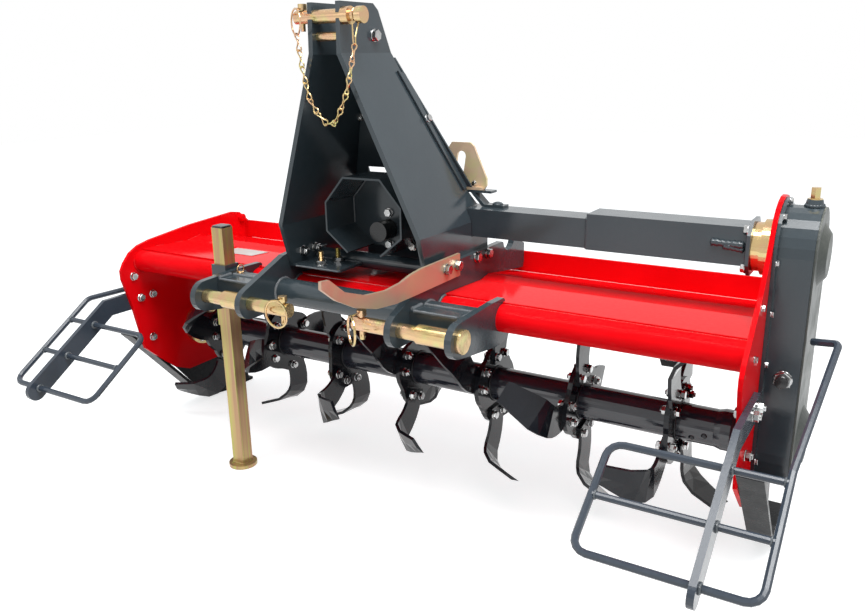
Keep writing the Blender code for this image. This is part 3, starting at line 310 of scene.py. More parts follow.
red_weld = surface("red_over_weld", paint_film, {
    "Paint": (0.74, 0.0035, 0.008), "Drift": (0.62, 0.0022, 0.005), "Dust": (0.50, 0.20, 0.16),
    "Dust Amount": 0.06, "Peel Scale": 500.0, "Rough Low": 0.16, "Rough High": 0.34}, 0.0002, specular=0.15)
FRONT_TUBE = (0.163, 0.449, 0.0285)  # place in Y and Z, radius
HOOD_LINE = ((0.185, 0.4792), (0.315, 0.4727), (0.352, 0.4787), (0.528, 0.4436))
TACK_HALF = 0.014
work = bmesh.new()
for face, way in ((LEFT_INNER, 1), (RIGHT_INNER, -1)):
    bead(work, arc_x(face + way * 0.0012, *FRONT_TUBE, -200, 60), 0.0024)
    for (y0, z0), (y1, z1) in zip(HOOD_LINE, HOOD_LINE[1:]):
        slope = (z1 - z0) / (y1 - y0)
        for share in (0.25, 0.75):
            y, z = y0 + (y1 - y0) * share, z0 + (z1 - z0) * share
            bead(work, [(face + way * 0.0010, y + end * TACK_HALF, z + end * TACK_HALF * slope)
                        for end in (-1, 1)], 0.0020)
finished(work, "hood_welds", "machine", red_weld, 60)
ROUND_END_Y, ROUND_END_Z = 0.516, 0.502
work = bmesh.new()
for face, way in ((LEFT_INNER, 1), (RIGHT_INNER, -1)):
    turned(work, HITCH + Vector((face, ROUND_END_Y, ROUND_END_Z)), (way, 0, 0),
           [(0.0105, 0.0), (0.0105, 0.012), (0.0085, 0.0145)], 24)
finished(work, "hood_round_ends", "machine", red)

# Blank plate on the hood: thin anodised aluminium with a raised rim and four drive rivets,
# lying on the front panel of the hood.
aluminium = surface("anodised_aluminium", zinc_film, {
    "Main": (0.66, 0.63, 0.60), "Warm": (0.60, 0.57, 0.54), "Cool": (0.70, 0.68, 0.66),
    "Cell": 9.0, "Stretch": 1.0, "Rough Low": 0.30, "Rough High": 0.46}, 0.00003, metallic=0.75)
PLATE_X, PLATE_Y, PLATE_HALF_X, PLATE_HALF_Y = -0.452, 0.272, 0.052, 0.030
PLATE_T, PLATE_RIM, RIVET_IN = 0.0010, 0.0025, 0.006
PANEL_Y, PANEL_Z, PANEL_SLOPE = 0.166, 0.4799, -0.0490


def on_panel(u, v, inset, lift=0.0):
    """Point on the hood's front panel: a corner of the blank plate moved inwards and up."""
    y = PLATE_Y + v * (PLATE_HALF_Y - inset)
    return HITCH + Vector((PLATE_X + u * (PLATE_HALF_X - inset), y,
                           PANEL_Z + (y - PANEL_Y) * PANEL_SLOPE + lift))


work = bmesh.new()
skin(work, [[work.verts.new(on_panel(u, v, inset, lift)) for u, v in ((-1, -1), (1, -1), (1, 1), (-1, 1))]
            for inset, lift in ((0.0, 0.0002), (0.0, PLATE_T), (PLATE_RIM, PLATE_T),
                                (PLATE_RIM + 0.0006, 0.0006))])
for u in (-1, 1):
    for v in (-1, 1):
        turned(work, on_panel(u, v, RIVET_IN), (0, -PANEL_SLOPE, 1),
               [(0.0022, 0.0), (0.0022, 0.0012), (0.0015, 0.0019), (0.0004, 0.0022)], 12)
finished(work, "hood_blank_plate", "machine", aluminium)

# Hitch: two arms across both tubes, outer plates for the lower links, stiffened tubes between
# them. Cut from 14 mm plate, welded, then sprayed dark slate with the mast and the drive.
slate = surface("slate_satin", paint_film, {
    "Paint": (0.030, 0.042, 0.050), "Drift": (0.036, 0.049, 0.057), "Dust": (0.25, 0.27, 0.27),
    "Dust Amount": 0.06, "Peel Scale": 260.0, "Rough Low": 0.14, "Rough High": 0.28}, 0.00008)
# Weld beads: slate paint with a rougher film, mixed lighter as a painted highlight.
slate_weld_painted_highlight = surface("slate_over_weld_painted_highlight", paint_film, {
    "Paint": (0.080, 0.092, 0.102), "Drift": (0.150, 0.162, 0.172), "Dust": (0.30, 0.30, 0.30),
    "Dust Amount": 0.10, "Peel Scale": 520.0, "Rough Low": 0.14, "Rough High": 0.34}, 0.0003)
dress(slate, ("arm_left", "arm_right", "hitch_plate_left", "hitch_plate_right", "hitch_box_left",
              "hitch_box_right"), 0.0010)
dress(slate, ("frame_tube",))
ARM_IN, ARM_OUT, OUTER_IN = 0.177, 0.191, 0.3044
FRAME_TUBE = (0.103, 0.4525, 0.0291)  # place in Y and Z, radius that its beads lie on
BOX_TOP = ((0.038, 0.4808), (0.078, 0.4812))
# columns: ends in X, place in Y and Z, radius of the seams across each hitch box
BOX_SEAMS = ((0.200, 0.296, 0.0345, 0.4805, 0.0030), (0.196, 0.300, 0.0800, 0.4800, 0.0040))
work = bmesh.new()
for side in (-1, 1):
    for x, start, stop in ((ARM_IN - 0.0010, 0, 360), (ARM_OUT + 0.0012, -60, 118),
                           (OUTER_IN - 0.0012, -60, 118)):
        bead(work, arc_x(side * x, *FRAME_TUBE, start, stop), 0.0030)
    for x in (ARM_OUT + 0.0012, OUTER_IN - 0.0012):
        bead(work, [(side * x, y, z) for y, z in BOX_TOP], 0.0042)
    for x in (ARM_IN - 0.0008, ARM_OUT + 0.0008):
        bead(work, arc_x(side * x, *FRONT_TUBE, 20, 150), 0.0026)
    for near, far, y, z, radius in BOX_SEAMS:
        bead(work, [(side * near, y, z), (side * far, y, z)], radius)
finished(work, "hitch_welds", "machine", slate_weld_painted_highlight, 60)

# Lower link pins and linch pins: turned steel with a sleeve and head, yellow zinc plated.
# The chromate film wanders from straw yellow to pink and a little green.
yellow_zinc = surface("yellow_zinc_plate", zinc_film, {
    "Main": (0.60, 0.44, 0.21), "Warm": (0.62, 0.39, 0.24), "Cool": (0.54, 0.50, 0.22),
    "Cell": 14.0, "Stretch": 1.0, "Rough Low": 0.15, "Rough High": 0.28}, 0.00001, metallic=0.9)
dress(yellow_zinc, ("lower_pin_left", "lower_pin_right", "linch_pin_left", "linch_pin_right"))

# Drive shaft hook: 6 mm strip on the right arm, yellow zinc gone beige and pink on the flat,
# held by two of the bolts that pass through arm and mast plate on each side.
hook_zinc = surface("hook_zinc", zinc_film, {
    "Main": (0.54, 0.40, 0.28), "Warm": (0.56, 0.34, 0.25), "Cool": (0.52, 0.43, 0.27),
    "Cell": 7.0, "Stretch": 1.0, "Rough Low": 0.28, "Rough High": 0.38}, 0.000005, metallic=0.5)
dress(hook_zinc, ("shaft_hook",), 0.0005)
HOOK_OUT, MAST_OUT, MAST_IN, MAST_M12 = 0.1974, 0.1911, 0.1665, 0.018
HOOK_BOLTS = ((0.161, 0.531), (0.203, 0.530))
MAST_BOLTS = ((0.296, 0.527), (0.347, 0.525))
rows = [("head", (HOOK_OUT, y, z), (1, 0, 0), MAST_M12) for y, z in HOOK_BOLTS]
rows += [("head", (MAST_OUT, y, z), (1, 0, 0), MAST_M12) for y, z in MAST_BOLTS]
rows += [("head", (-MAST_OUT, y, z), (-1, 0, 0), MAST_M12) for y, z in HOOK_BOLTS + MAST_BOLTS]
for side in (-1, 1):
    rows += [("nut", (side * MAST_IN, y, z), (-side, 0, 0), MAST_M12) for y, z in HOOK_BOLTS + MAST_BOLTS]
bolts("mast_foot_bolts", "machine", rows)

# Mast: two folded plates and a sheet across their back, with a thin tube and a plate for two
# bolt ends in the foot, all in slate paint. One bolt on each side holds the sheet, and a larger
# head sits near the top of the right plate.
dress(slate, ("mast_plate_left", "mast_plate_right"), 0.0012)
dress(slate, ("mast_back_cover", "grease_plate"), 0.0008)
dress(slate, ("mast_cross_tube",))
COVER_FRONT = (0.0, -0.9372, -0.3486)  # way that the sheet's front face looks
COVER_M7, TOP_M12 = 0.011, 0.019
rows = [("nut", (side * 0.076, 0.2735, 0.8110), COVER_FRONT, COVER_M7) for side in (-1, 1)]
rows.append(("head", (0.0377, 0.170, 0.972), (1, 0, 0), TOP_M12))
bolts("mast_bolts", "machine", rows)

# Folded rims of the mast's back sheet: 4 mm strips that lie on the outer faces of both mast
# plates along their sloping rear edges, each with one screw. Slate paint, as the sheet.
RIM_T, RIM_W, RIM_HIGH, RIM_LOW, RIM_CUT = 0.004, 0.020, 0.905, 0.668, 0.006
OUTER_TOP_X, BEND_Z, SPLAY = 0.0386, 0.938, 0.4073
REAR_TOP_Y, REAR_SLOPE = 0.2275, 0.3710
SCREW_DROP, SCREW_Y, SCREW_Z, SCREW_M8 = 0.128, 0.2675, 0.8118, 0.013
rows = []
for side in (-1, 1):
    work = bmesh.new()
    across = Vector((side * 0.9262, 0.0, 0.3772))
    corners = []
    for z, reach in ((RIM_HIGH, RIM_W), (RIM_HIGH - RIM_CUT, 0.0), (RIM_LOW, 0.0), (RIM_LOW - RIM_CUT, RIM_W)):
        y = REAR_TOP_Y + (BEND_Z - z) * REAR_SLOPE + 0.002 - reach
        corners.append(HITCH + Vector((side * (OUTER_TOP_X + (BEND_Z - z) * SPLAY), y, z)) + across * 0.0003)
    skin(work, [[work.verts.new(corner + across * lift) for corner in corners] for lift in (0.0, RIM_T)])
    bmesh.ops.bevel(work, geom=list(work.edges), offset=0.0006, segments=2, affect="EDGES")
    finished(work, "mast_sheet_rim_" + ("left" if side < 0 else "right"), "machine", slate)
    screw_x = side * (OUTER_TOP_X + SCREW_DROP * SPLAY + RIM_T)
    rows.append(("head", (screw_x, SCREW_Y, SCREW_Z), tuple(across), SCREW_M8))
bolts("mast_rim_screws", "machine", rows)

# Welds in the mast's foot: beads round the ends of the thin tube and along the foot plate. Their
# slate paint is rougher and mixed lighter as a painted highlight.
FOOT_X, CROSS_TUBE = 0.1650, (0.225, 0.510, 0.0180)
# columns: two ends and radius of the seams round the foot plate
FOOT_SEAMS = (((-0.160, 0.1290, 0.5050), (-0.045, 0.1290, 0.5050), 0.0026),
              ((-0.160, 0.2055, 0.5085), (-0.120, 0.2060, 0.5085), 0.0024),
              ((-0.085, 0.2060, 0.5085), (-0.045, 0.2060, 0.5085), 0.0024))
work = bmesh.new()
for side in (-1, 1):
    bead(work, [(side * FOOT_X, 0.2075, 0.5285), (side * FOOT_X, 0.2425, 0.5285)], 0.0026)
    bead(work, arc_x(side * FOOT_X, *CROSS_TUBE, -180, 180), 0.0022)
for start, stop, radius in FOOT_SEAMS:
    bead(work, (start, stop), radius)
finished(work, "mast_welds", "machine", slate_weld_painted_highlight, 60)

# Bolt ends in the foot plate: two studs of threaded rod, yellow zinc plated, each held by a
# bright zinc nut on a washer.
STUD_R, STUD_RISE, STUD_PITCH, STUD_NUT, FOOT_TOP = 0.0056, 0.030, 0.00175, 0.018, 0.509
STUDS = ((-0.104, 0.146), (-0.093, 0.190))
thread = [(STUD_R, 0.0)]
for i in range(int(STUD_RISE / STUD_PITCH)):
    thread += [(STUD_R * 0.86, STUD_PITCH * (i + 0.5)), (STUD_R, STUD_PITCH * (i + 1))]
thread.append((STUD_R * 0.8, STUD_RISE + 0.0006))
work = bmesh.new()
for x, y in STUDS:
    turned(work, HITCH + Vector((x, y, FOOT_TOP)), (0, 0, 1), thread, 16)
finished(work, "foot_plate_studs", "machine", yellow_zinc)
bolts("foot_plate_nuts", "machine", [("head", (x, y, FOOT_TOP), (0, 0, 1), STUD_NUT) for x, y in STUDS])

# Top link pin with linch pin and retaining chain, and the spacer under it: yellow zinc, the
# chain of bent wire links.
dress(yellow_zinc, ("top_pin", "mast_spacer", "top_linch_pin", "retaining_chain"))

# Gearbox with its front plate and the folded shield round the input shaft: casting and plates
# in slate paint, screwed together; the shaft wears a black moulded transport cap. Two zinc
# hexagon plugs close the casting on top and behind.
dress(slate, ("gearbox", "gearbox_front_plate", "input_shield"), 0.0008)
dress(bright_zinc, ("input_shaft",))
plastic = surface("black_plastic_cap", paint_film, {
    "Paint": (0.011, 0.011, 0.012), "Drift": (0.016, 0.016, 0.017), "Dust": (0.20, 0.19, 0.18),
    "Dust Amount": 0.05, "Peel Scale": 900.0, "Rough Low": 0.18, "Rough High": 0.32}, 0.00003)
dress(plastic, ("input_shaft_cap",), 0.0045)
FRONT_Y, REAR_Y, GEARBOX_M10, GEARBOX_M8 = 0.2539, 0.4251, 0.016, 0.013
FRONT_BOLTS = ((0.002, 0.6135), (0.002, 0.5440), (0.062, 0.5460), (0.062, 0.6135))
rows = [("head", (x, FRONT_Y, z), (0, -1, 0), GEARBOX_M10) for x, z in FRONT_BOLTS]
rows += [("head", (x, REAR_Y, z), (0, 1, 0), GEARBOX_M8)
         for x in (-0.066, 0.066) for z in (0.508, 0.582, 0.656)]
bolts("gearbox_bolts", "machine", rows)
SHIELD_Y = 0.2528
SHIELD_LINE = ((-0.090, 0.584), (-0.090, 0.641), (-0.044, 0.693), (0.044, 0.693), (0.090, 0.641),
               (0.090, 0.584))
work = bmesh.new()
bead(work, [(x, SHIELD_Y, z) for x, z in SHIELD_LINE], 0.0020)
finished(work, "shield_weld", "machine", slate_weld_painted_highlight, 60)
TOP_PLUG, REAR_PLUG = (0.0, 0.385, 0.672), (0.0, 0.424, 0.560)
work = bmesh.new()
turned(work, HITCH + Vector(TOP_PLUG), (0, 0, 1), [
    (0.0150, 0.0), (0.0150, 0.0020), (0.0115, 0.0022), (0.0115, 0.0110), (0.0098, 0.0125)], 6)
turned(work, HITCH + Vector(REAR_PLUG), (0, 1, 0), [
    (0.0130, 0.0), (0.0130, 0.0018), (0.0100, 0.0020), (0.0100, 0.0080), (0.0086, 0.0092)], 6)
finished(work, "gearbox_plugs", "machine", bright_zinc)

# Drive beam from gearbox to side case: box section with a deeper sleeve over its right part,
# an eight-sided end plate bolted to the shaft bearing, and welds left under the slate paint.
dress(slate, ("drive_beam", "beam_end_plate"), 0.0012)
DRIVE_Y, DRIVE_Z, END_X, END_BOLT, END_M9 = 0.335, 0.598, 0.7278, 0.034, 0.015
bolts("beam_end_bolts", "machine", [
    ("head", (END_X, DRIVE_Y + a * END_BOLT, DRIVE_Z + b * END_BOLT), (-1, 0, 0), END_M9)
    for a in (-1, 1) for b in (-1, 1)])
STEP_X = 0.4295
STEP_LINE = ((0.3012, 0.568), (0.3012, 0.627), (0.3032, 0.6285), (0.3668, 0.6285), (0.3688, 0.627),
             (0.3688, 0.568))
SEAM_X = 0.7268
SEAM_LINE = ((0.2995, 0.566), (0.2995, 0.637), (0.3705, 0.637), (0.3705, 0.566), (0.2995, 0.566))
# columns: two ends and radius of the thick beads beside the end plate
THICK_BEADS = (((0.664, 0.2995, 0.6060), (0.724, 0.2995, 0.6040), 0.0070),
               ((0.686, 0.2988, 0.6010), (0.724, 0.2992, 0.5960), 0.0062))
work = bmesh.new()
bead(work, [(STEP_X, y, z) for y, z in STEP_LINE], 0.0022)
for start, stop, radius in THICK_BEADS:
    bead(work, (start, stop), radius)
bead(work, [(SEAM_X, y, z) for y, z in SEAM_LINE], 0.0028)
finished(work, "beam_welds", "machine", slate, 60)

# Bearing housings: turned rings with bolted flanges, yellow zinc; one on the beam's end and
# one on each side plate for the rotor.
dress(yellow_zinc, ("beam_bearing", "rotor_bearing_left", "rotor_bearing_right"))
ROTOR_Y, ROTOR_Z, BEARING_BOLT_R, BEARING_M6 = 0.3305, 0.237, 0.0455, 0.010
rows = []
for angle in (68, 112, 248, 292):
    y, z = ROTOR_Y + BEARING_BOLT_R * cos(radians(angle)), ROTOR_Z + BEARING_BOLT_R * sin(radians(angle))
    rows.append(("head", (-0.6831, y, z), (1, 0, 0), BEARING_M6))
    rows.append(("head", (0.7571, y, z), (-1, 0, 0), BEARING_M6))
bolts("rotor_bearing_bolts", "machine", rows)

# Lever plate on its folded foot: a slotted plate that takes a rod's end, yellow zinc gone pale,
# with one small bolt through its base and a round-headed one through the slate foot.
lever_zinc = surface("lever_zinc", zinc_film, {
    "Main": (0.78, 0.60, 0.40), "Warm": (0.78, 0.54, 0.38), "Cool": (0.74, 0.64, 0.34),
    "Cell": 16.0, "Stretch": 1.0, "Rough Low": 0.28, "Rough High": 0.38}, 0.000005, metallic=0.4)
dress(lever_zinc, ("lever_plate",), 0.0005)
dress(slate, ("lever_foot",), 0.0006)
LEVER_BOLT, ROUND_BOLT, LEVER_M5 = (0.160, 0.3449, 0.6735), (0.2150, 0.3470, 0.6323), 0.009
bolts("lever_bolts", "machine", [("head", LEVER_BOLT, (0, -1, 0), LEVER_M5)])
work = bmesh.new()
turned(work, HITCH + Vector(ROUND_BOLT), (0, 0, 1), [
    (0.0115, 0.0), (0.0115, 0.0016), (0.0095, 0.0038), (0.0050, 0.0056), (0.0008, 0.0060)], 24)
finished(work, "lever_round_bolt", "machine", slate)

# Side drive case: pressed box on a bolted flange, its bulged cover dull with dust, and a neck
# welded on for the breather. The oil level plug in its front wall is a zinc hexagon with a dark
# round window.
dress(slate, ("side_case",), 0.0050)
dusty_slate = surface("dusty_slate", paint_film, {
    "Paint": (0.050, 0.056, 0.052), "Drift": (0.075, 0.080, 0.070), "Dust": (0.30, 0.30, 0.25),
    "Dust Amount": 0.60, "Peel Scale": 260.0, "Rough Low": 0.34, "Rough High": 0.60}, 0.0002, specular=0.3)
dress(dusty_slate, ("case_cover",), 0.0010)
dress(yellow_zinc, ("case_breather",), 0.0006)
CASE_X, CASE_Y, CASE_TOP, CASE_LOW, CASE_R, CASE_M6 = 0.7844, 0.338, 0.598, 0.238, 0.0843, 0.0095
rows = []
for z in (0.222, 0.315, 0.408, 0.500, 0.588):
    rows.append(("head", (CASE_X, CASE_Y - CASE_R, z), (1, 0, 0), CASE_M6))
    rows.append(("head", (CASE_X, CASE_Y + CASE_R, z), (1, 0, 0), CASE_M6))
for angle in (50, 90, 130):
    y, z = CASE_R * cos(radians(angle)), CASE_R * sin(radians(angle))
    rows.append(("head", (CASE_X, CASE_Y + y, CASE_TOP + z), (1, 0, 0), CASE_M6))
    rows.append(("head", (CASE_X, CASE_Y + y, CASE_LOW - z), (1, 0, 0), CASE_M6))
bolts("case_flange_bolts", "machine", rows)
NECK_X, NECK_Z, NECK_R = 0.8233, 0.676, 0.0128
work = bmesh.new()
bead(work, [(NECK_X + NECK_R * cos(a), CASE_Y + NECK_R * sin(a), NECK_Z + 0.0005)
            for a in (2 * pi * i / 24 for i in range(25))], 0.0042)
turned(work, HITCH + Vector((NECK_X, CASE_Y, NECK_Z)), (0, 0, 1), [
    (0.0165, 0.0), (0.0148, 0.004), (0.0136, 0.010), (0.0122, 0.0125)], 24)
finished(work, "breather_weld", "machine", slate, 60)
LEVEL_PLUG = HITCH + Vector((0.8145, 0.2602, 0.3840))
work = bmesh.new()
turned(work, LEVEL_PLUG, (0, -1, 0), [(0.0158, 0.0), (0.0158, 0.0016), (0.0150, 0.0024)], 28)
turned(work, LEVEL_PLUG, (0, -1, 0), [(0.0165, 0.0024), (0.0165, 0.0080), (0.0150, 0.0094)], 6, 0.4)
finished(work, "level_plug", "machine", bright_zinc)
work = bmesh.new()
turned(work, LEVEL_PLUG, (0, -1, 0), [
    (0.0118, 0.0090), (0.0118, 0.0170), (0.0105, 0.0186), (0.0050, 0.0192), (0.0008, 0.0194)], 24)
finished(work, "level_plug_window", "machine", plastic)

# Rotor: tube with seven flange plates welded on and forged curved blades bolted to them, all in
# glossy blue-black paint. Fine scale shows through the film; the tube's own coat is smoother and
# mixed lighter and bluer than the blades' as a painted sheen, and four plug welds dot its right end.
black = surface("black_gloss", paint_film, {
    "Paint": (0.0075, 0.0085, 0.0120), "Drift": (0.0115, 0.0130, 0.0180), "Dust": (0.16, 0.15, 0.14),
    "Dust Amount": 0.04, "Peel Scale": 180.0, "Rough Low": 0.10, "Rough High": 0.26}, 0.00014, specular=0.32)
dress(black, ["blade_flange_%d" % i for i in range(1, 8)])
# Rotor tube: the blades' black mixed lighter and bluer, a painted sheen.
tube_black_painted_sheen = surface("tube_black_painted_sheen", paint_film, {
    "Paint": (0.022, 0.024, 0.034), "Drift": (0.028, 0.030, 0.041), "Dust": (0.16, 0.15, 0.14),
    "Dust Amount": 0.04, "Peel Scale": 180.0, "Rough Low": 0.10, "Rough High": 0.22}, 0.00010, specular=0.7)
dress(tube_black_painted_sheen, ("rotor_tube",))
FLANGE_FIRST, FLANGE_PITCH, FLANGE_HALF, BLADE_OUT = -0.586, 0.2013, 0.0051, 0.0111
BOLT_R, BOLT_APART, BLADE_SHIFT, BLADE_M10 = 0.066, 0.0190, -0.006, 0.0155
TUBE_R = 0.0364
# columns: angles of the left and right blades' shanks, each with a twin half a turn on
SHANKS = ((-100, -10), (-61, -165), (-56, -130), (-20, -112), (-17, -90), (-170, -75), (-132, -47))
rows = []
work = bmesh.new()
for number, turns in enumerate(SHANKS):
    x = FLANGE_FIRST + FLANGE_PITCH * number
    for side, turn in zip((-1, 1), turns):
        bead(work, arc_x(x + side * 0.0058, ROTOR_Y, ROTOR_Z, TUBE_R + 0.0014, 0, 360, 40), 0.0026)
        for angle in (radians(turn), radians(turn + 180)):
            for shift in (BLADE_SHIFT - BOLT_APART, BLADE_SHIFT + BOLT_APART):
                y = ROTOR_Y + BOLT_R * cos(angle) - shift * sin(angle)
                z = ROTOR_Z + BOLT_R * sin(angle) + shift * cos(angle)
                rows.append(("head", (x + side * BLADE_OUT, y, z), (side, 0, 0), BLADE_M10))
                rows.append(("nut", (x - side * FLANGE_HALF, y, z), (-side, 0, 0), BLADE_M10))
finished(work, "flange_welds", "rotor", black, 60)
bolts("blade_bolts", "rotor", rows)
work = bmesh.new()
for x, angle in ((0.660, 205), (0.684, 190), (0.660, 25), (0.684, 10)):
    out = Vector((0.0, cos(radians(angle)), sin(radians(angle))))
    turned(work, HITCH + Vector((x, ROTOR_Y, ROTOR_Z)) + out * TUBE_R, out, [
        (0.0060, 0.0), (0.0054, 0.0016), (0.0030, 0.0024), (0.0006, 0.0026)], 16)
finished(work, "rotor_plug_welds", "rotor", black, 60)

# Skids: a runner strip bent along the ground and up at the front, with a web against each side
# plate. Welded steel in black paint, scuffed dull.
skid_black = surface("skid_black", paint_film, {
    "Paint": (0.008, 0.009, 0.010), "Drift": (0.015, 0.016, 0.018), "Dust": (0.20, 0.19, 0.18),
    "Dust Amount": 0.05, "Peel Scale": 200.0, "Rough Low": 0.24, "Rough High": 0.46}, 0.0002, specular=0.08)
dress(skid_black, ("skid_left", "skid_right"), 0.0008)

# Wheel guards: a flat bar bolted to each side plate with a ladder of 13 mm round bar welded
# through it, in a bluer batch of the slate paint. The beads have a rougher film, mixed lighter as a painted
# highlight.
guard_slate = surface("guard_slate", paint_film, {
    "Paint": (0.034, 0.045, 0.062), "Drift": (0.044, 0.055, 0.072), "Dust": (0.25, 0.27, 0.28),
    "Dust Amount": 0.06, "Peel Scale": 260.0, "Rough Low": 0.14, "Rough High": 0.28}, 0.00008, specular=0.45)
dress(guard_slate, ("guard_left", "guard_right"))
RUNGS = ((0.004, 0.3215), (-0.078, 0.268), (-0.160, 0.2145))
FLAT_BARS = ((-0.7184, -0.7073), (0.7783, 0.7894))
RAILS = ((-0.8009, -0.5268), (0.8719, 0.5978))
work = bmesh.new()
for low, high in FLAT_BARS:
    for y, z in RUNGS:
        for x in (low - 0.0008, high + 0.0008):
            bead(work, arc_x(x, y, z, 0.0070, 0, 360, 16), 0.0028)
for outer, inner in RAILS:
    for x, (y, z) in ((outer, RUNGS[0]), (outer, RUNGS[1]), (inner, RUNGS[1])):
        way = 1 if x < (outer + inner) / 2 else -1
        bead(work, arc_x(x + way * 0.0066, y, z, 0.0066, 0, 360, 14), 0.0018)
finished(work, "guard_welds", "machine", slate_weld_painted_highlight, 60)

# Parking stand: square tube leg with a round foot, yellow zinc drawn out in long straw, green
# and brown streaks, a black plastic plug in its top and a slate guide on the hitch plate. A
# short square bar stands beside the guide, and a wire ring clip sits on its cross pin's end.
leg_zinc = surface("leg_zinc", zinc_film, {
    "Main": (0.52, 0.37, 0.16), "Warm": (0.42, 0.24, 0.14), "Cool": (0.44, 0.46, 0.11),
    "Cell": 64.0, "Stretch": 0.02, "Rough Low": 0.28, "Rough High": 0.32}, 0.000005, metallic=0.6)
dress(leg_zinc, ("stand_leg",), 0.0025)
dress(yellow_zinc, ("stand_plunger",))
dress(slate, ("stand_guide",), 0.0006)
LEG_X, LEG_Y, LEG_TOP, LEG_HALF = -0.3397, 0.0955, 0.580, 0.0165
PLUG_HALF, PLUG_CORNER = 0.0158, 0.004
work = bmesh.new()
rings = []
for inset, lift in ((0.0, 0.0), (0.0, 0.0026), (0.0012, 0.0040), (0.0060, 0.0044)):
    middle = PLUG_HALF - inset - PLUG_CORNER
    ring = []
    for quarter, (u, v) in enumerate(((1, 1), (-1, 1), (-1, -1), (1, -1))):
        for a in (radians(90 * quarter + 30 * step) for step in range(4)):
            ring.append(work.verts.new(HITCH + Vector((LEG_X + middle * u + PLUG_CORNER * cos(a),
                                                       LEG_Y + middle * v + PLUG_CORNER * sin(a),
                                                       LEG_TOP + lift))))
    rings.append(ring)
skin(work, rings)
finished(work, "stand_top_plug", "stand", plastic)
BAR_X, BAR_Z, BAR_HIGH = -0.3650, 0.3490, 0.1035
work = bmesh.new()
turned(work, HITCH + Vector((BAR_X, LEG_Y, BAR_Z)), (0, 0, 1), [
    (0.0075, 0.0), (0.0088, 0.0012), (0.0088, BAR_HIGH)], 4, pi / 4)
finished(work, "stand_side_bar", "machine", leg_zinc)
CLIP_X, CLIP_Z, CLIP_R, CLIP_WIRE = -0.2930, 0.4890, 0.0100, 0.0014
POST_X, POST_Z = -0.3042, 0.4795
work = bmesh.new()
rings = []
for i in range(28):
    out = Vector((0.0, cos(2 * pi * i / 28), sin(2 * pi * i / 28)))
    middle = HITCH + Vector((CLIP_X, LEG_Y, CLIP_Z)) + out * CLIP_R
    rings.append([work.verts.new(middle + (out * cos(b) + Vector((1, 0, 0)) * sin(b)) * CLIP_WIRE)
                  for b in (2 * pi * k / 8 for k in range(8))])
skin(work, rings, endless=True)
turned(work, HITCH + Vector((POST_X, LEG_Y, POST_Z)), (1, 0, 0), [
    (0.0045, 0.0), (0.0045, 0.013), (0.0036, 0.0145)], 16)
finished(work, "stand_pin_clip", "machine", yellow_zinc, 60)
work = bmesh.new()
bead(work, [(LEG_X + a * LEG_HALF, LEG_Y + b * LEG_HALF, 0.0092)
            for a, b in ((-1, -1), (1, -1), (1, 1), (-1, 1), (-1, -1))], 0.0016)
finished(work, "stand_foot_weld", "stand", leg_zinc, 60)

# Floor: one pale matt sheet. The camera, gloss and glass see it lifted to the white of the
# backdrop, so it keeps only the machine's soft shadow.
FLOOR_HALF, FLOOR_Z, FLOOR_LIFT = 9, -0.0015, 0.69
floor_mesh = bpy.data.meshes.new("floor")
floor_mesh.from_pydata([(u * FLOOR_HALF, v * FLOOR_HALF, 0) for u, v in ((-1, -1), (1, -1), (1, 1), (-1, 1))],
                       [], [(0, 1, 2, 3)])
floor = bpy.data.objects.new("floor", floor_mesh)
floor.location.z = FLOOR_Z
bpy.context.scene.collection.objects.link(floor)


def by_ray(tree, plain, shown, end):
    """Show one shader to camera, gloss and glass rays, and the plain one to all others."""
    ray = tree.nodes.new("ShaderNodeLightPath").outputs
    seen = calc(tree, "MAXIMUM", calc(tree, "MAXIMUM", ray["Is Camera Ray"], ray["Is Glossy Ray"]),
                ray["Is Transmission Ray"])
    chooser = tree.nodes.new("ShaderNodeMixShader")
    for socket, value in zip(chooser.inputs, (seen, plain.outputs[0], shown.outputs[0])):
        tree.links.new(value, socket)
    tree.links.new(chooser.outputs[0], tree.nodes[end].inputs["Surface"])


floor_mat = bpy.data.materials.new("pale_floor")
floor_mat.use_nodes = True
tree = floor_mat.node_tree
matt = tree.nodes["Principled BSDF"]
spot = tree.nodes.new("ShaderNodeTexCoord").outputs["Object"]
fleck = span(tree, noise(tree, spot, 3.0, 4.0), 0.3, 0.7)
feed(tree, matt.inputs["Base Color"], mix(tree, fleck, (0.60, 0.60, 0.59, 1), (0.63, 0.63, 0.62, 1)))
matt.inputs["Roughness"].default_value = 0.9
matt.inputs["Specular IOR Level"].default_value = 0.1
lifted = tree.nodes.new("ShaderNodeAddShader")
white = add(tree, "ShaderNodeEmission", Color=(1, 1, 1, 1), Strength=FLOOR_LIFT)
tree.links.new(matt.outputs[0], lifted.inputs[0])
tree.links.new(white.outputs[0], lifted.inputs[1])
by_ray(tree, matt, lifted, "Material Output")
floor_mesh.materials.append(floor_mat)

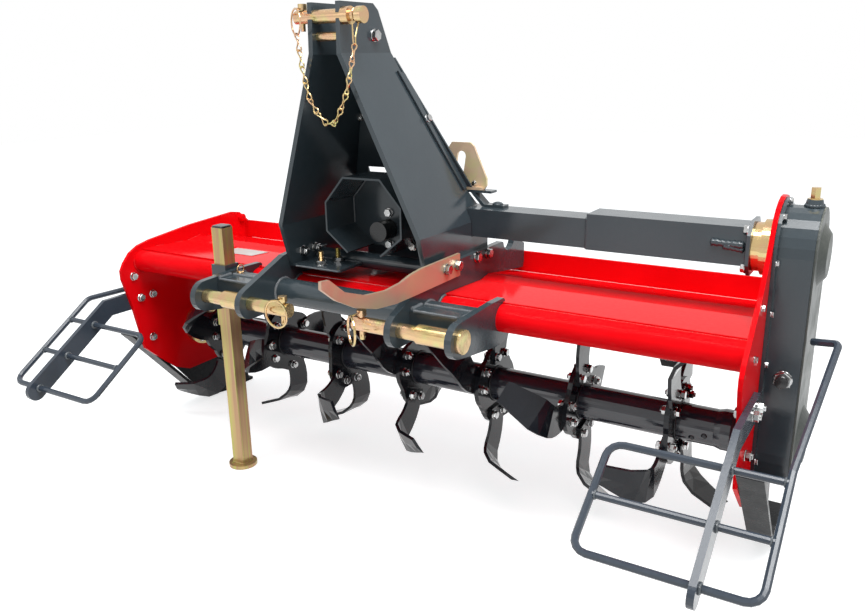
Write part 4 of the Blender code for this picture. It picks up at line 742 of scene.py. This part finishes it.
# Studio: an even room that is bright overhead and greyer towards its walls, and plain white
# where the camera, gloss or glass looks.
ROOM_LIGHT = 0.82
world = bpy.data.worlds.new("studio")
bpy.context.scene.world = world
world.use_nodes = True
tree = world.node_tree
room = tree.nodes["Background"]
room.inputs["Strength"].default_value = ROOM_LIGHT
heading = tree.nodes.new("ShaderNodeSeparateXYZ")
feed(tree, heading.inputs[0], tree.nodes.new("ShaderNodeTexCoord").outputs["Generated"])
rise = span(tree, heading.outputs["Z"], -0.05, 0.75)
feed(tree, room.inputs["Color"], mix(tree, rise, (0.26, 0.28, 0.31, 1), (0.86, 0.93, 0.98, 1)))
backdrop = add(tree, "ShaderNodeBackground", Color=(1, 1, 1, 1), Strength=1.0)
by_ray(tree, room, backdrop, "World Output")

# Lamps: a long soft panel overhead, a panel high on the right and a weak one in front, all
# plain rectangles that the camera doesn't see.
# columns: name, place, target, size, watts
for name, place, target, size, power in (
        ("panel_overhead", (0.2, -0.7, 3.0), (0.0, 0.0, 0.3), (2.8, 0.9), 60),
        ("panel_right", (1.3, -0.4, 2.8), (0.0, 0.0, 0.5), (1.5, 1.5), 46),
        ("panel_front", (-1.5, -3.0, 1.6), (0.0, 0.0, 0.4), (1.4, 1.0), 4)):
    data = bpy.data.lights.new(name, "AREA")
    data.shape = "RECTANGLE"
    data.size, data.size_y = size
    data.energy = power
    lamp = bpy.data.objects.new(name, data)
    lamp.location = place
    lamp.rotation_euler = (Vector(place) - Vector(target)).to_track_quat("Z", "Y").to_euler()
    lamp.visible_camera = False
    bpy.context.scene.collection.objects.link(lamp)
bpy.context.scene.view_settings.view_transform = "Standard"

# Camera: a slightly wide lens at waist height, in front of the machine and to its right. Its
# place, direction and lens are those that were solved from the machine's own points.
AZIMUTH, ELEVATION, ROLL = radians(31.58), radians(16.84), radians(-0.99)
CAMERA_PLACE, LENS_MM, SENSOR_MM = (0.9879, -1.1796, 0.9244), 33.97, 36.0
back = Vector((sin(AZIMUTH) * cos(ELEVATION), -cos(AZIMUTH) * cos(ELEVATION), sin(ELEVATION)))
level = Vector((cos(AZIMUTH), sin(AZIMUTH), 0.0))
upward = back.cross(level)
right = level * cos(ROLL) + upward * sin(ROLL)
up = upward * cos(ROLL) - level * sin(ROLL)
eye = bpy.data.cameras.new("camera")
eye.sensor_width = SENSOR_MM
eye.lens = LENS_MM
camera = bpy.data.objects.new("camera", eye)
turn = Matrix((right, up, back)).transposed().to_4x4()
camera.matrix_world = Matrix.Translation(Vector(CAMERA_PLACE) + HITCH) @ turn
bpy.context.scene.collection.objects.link(camera)
bpy.context.scene.camera = camera
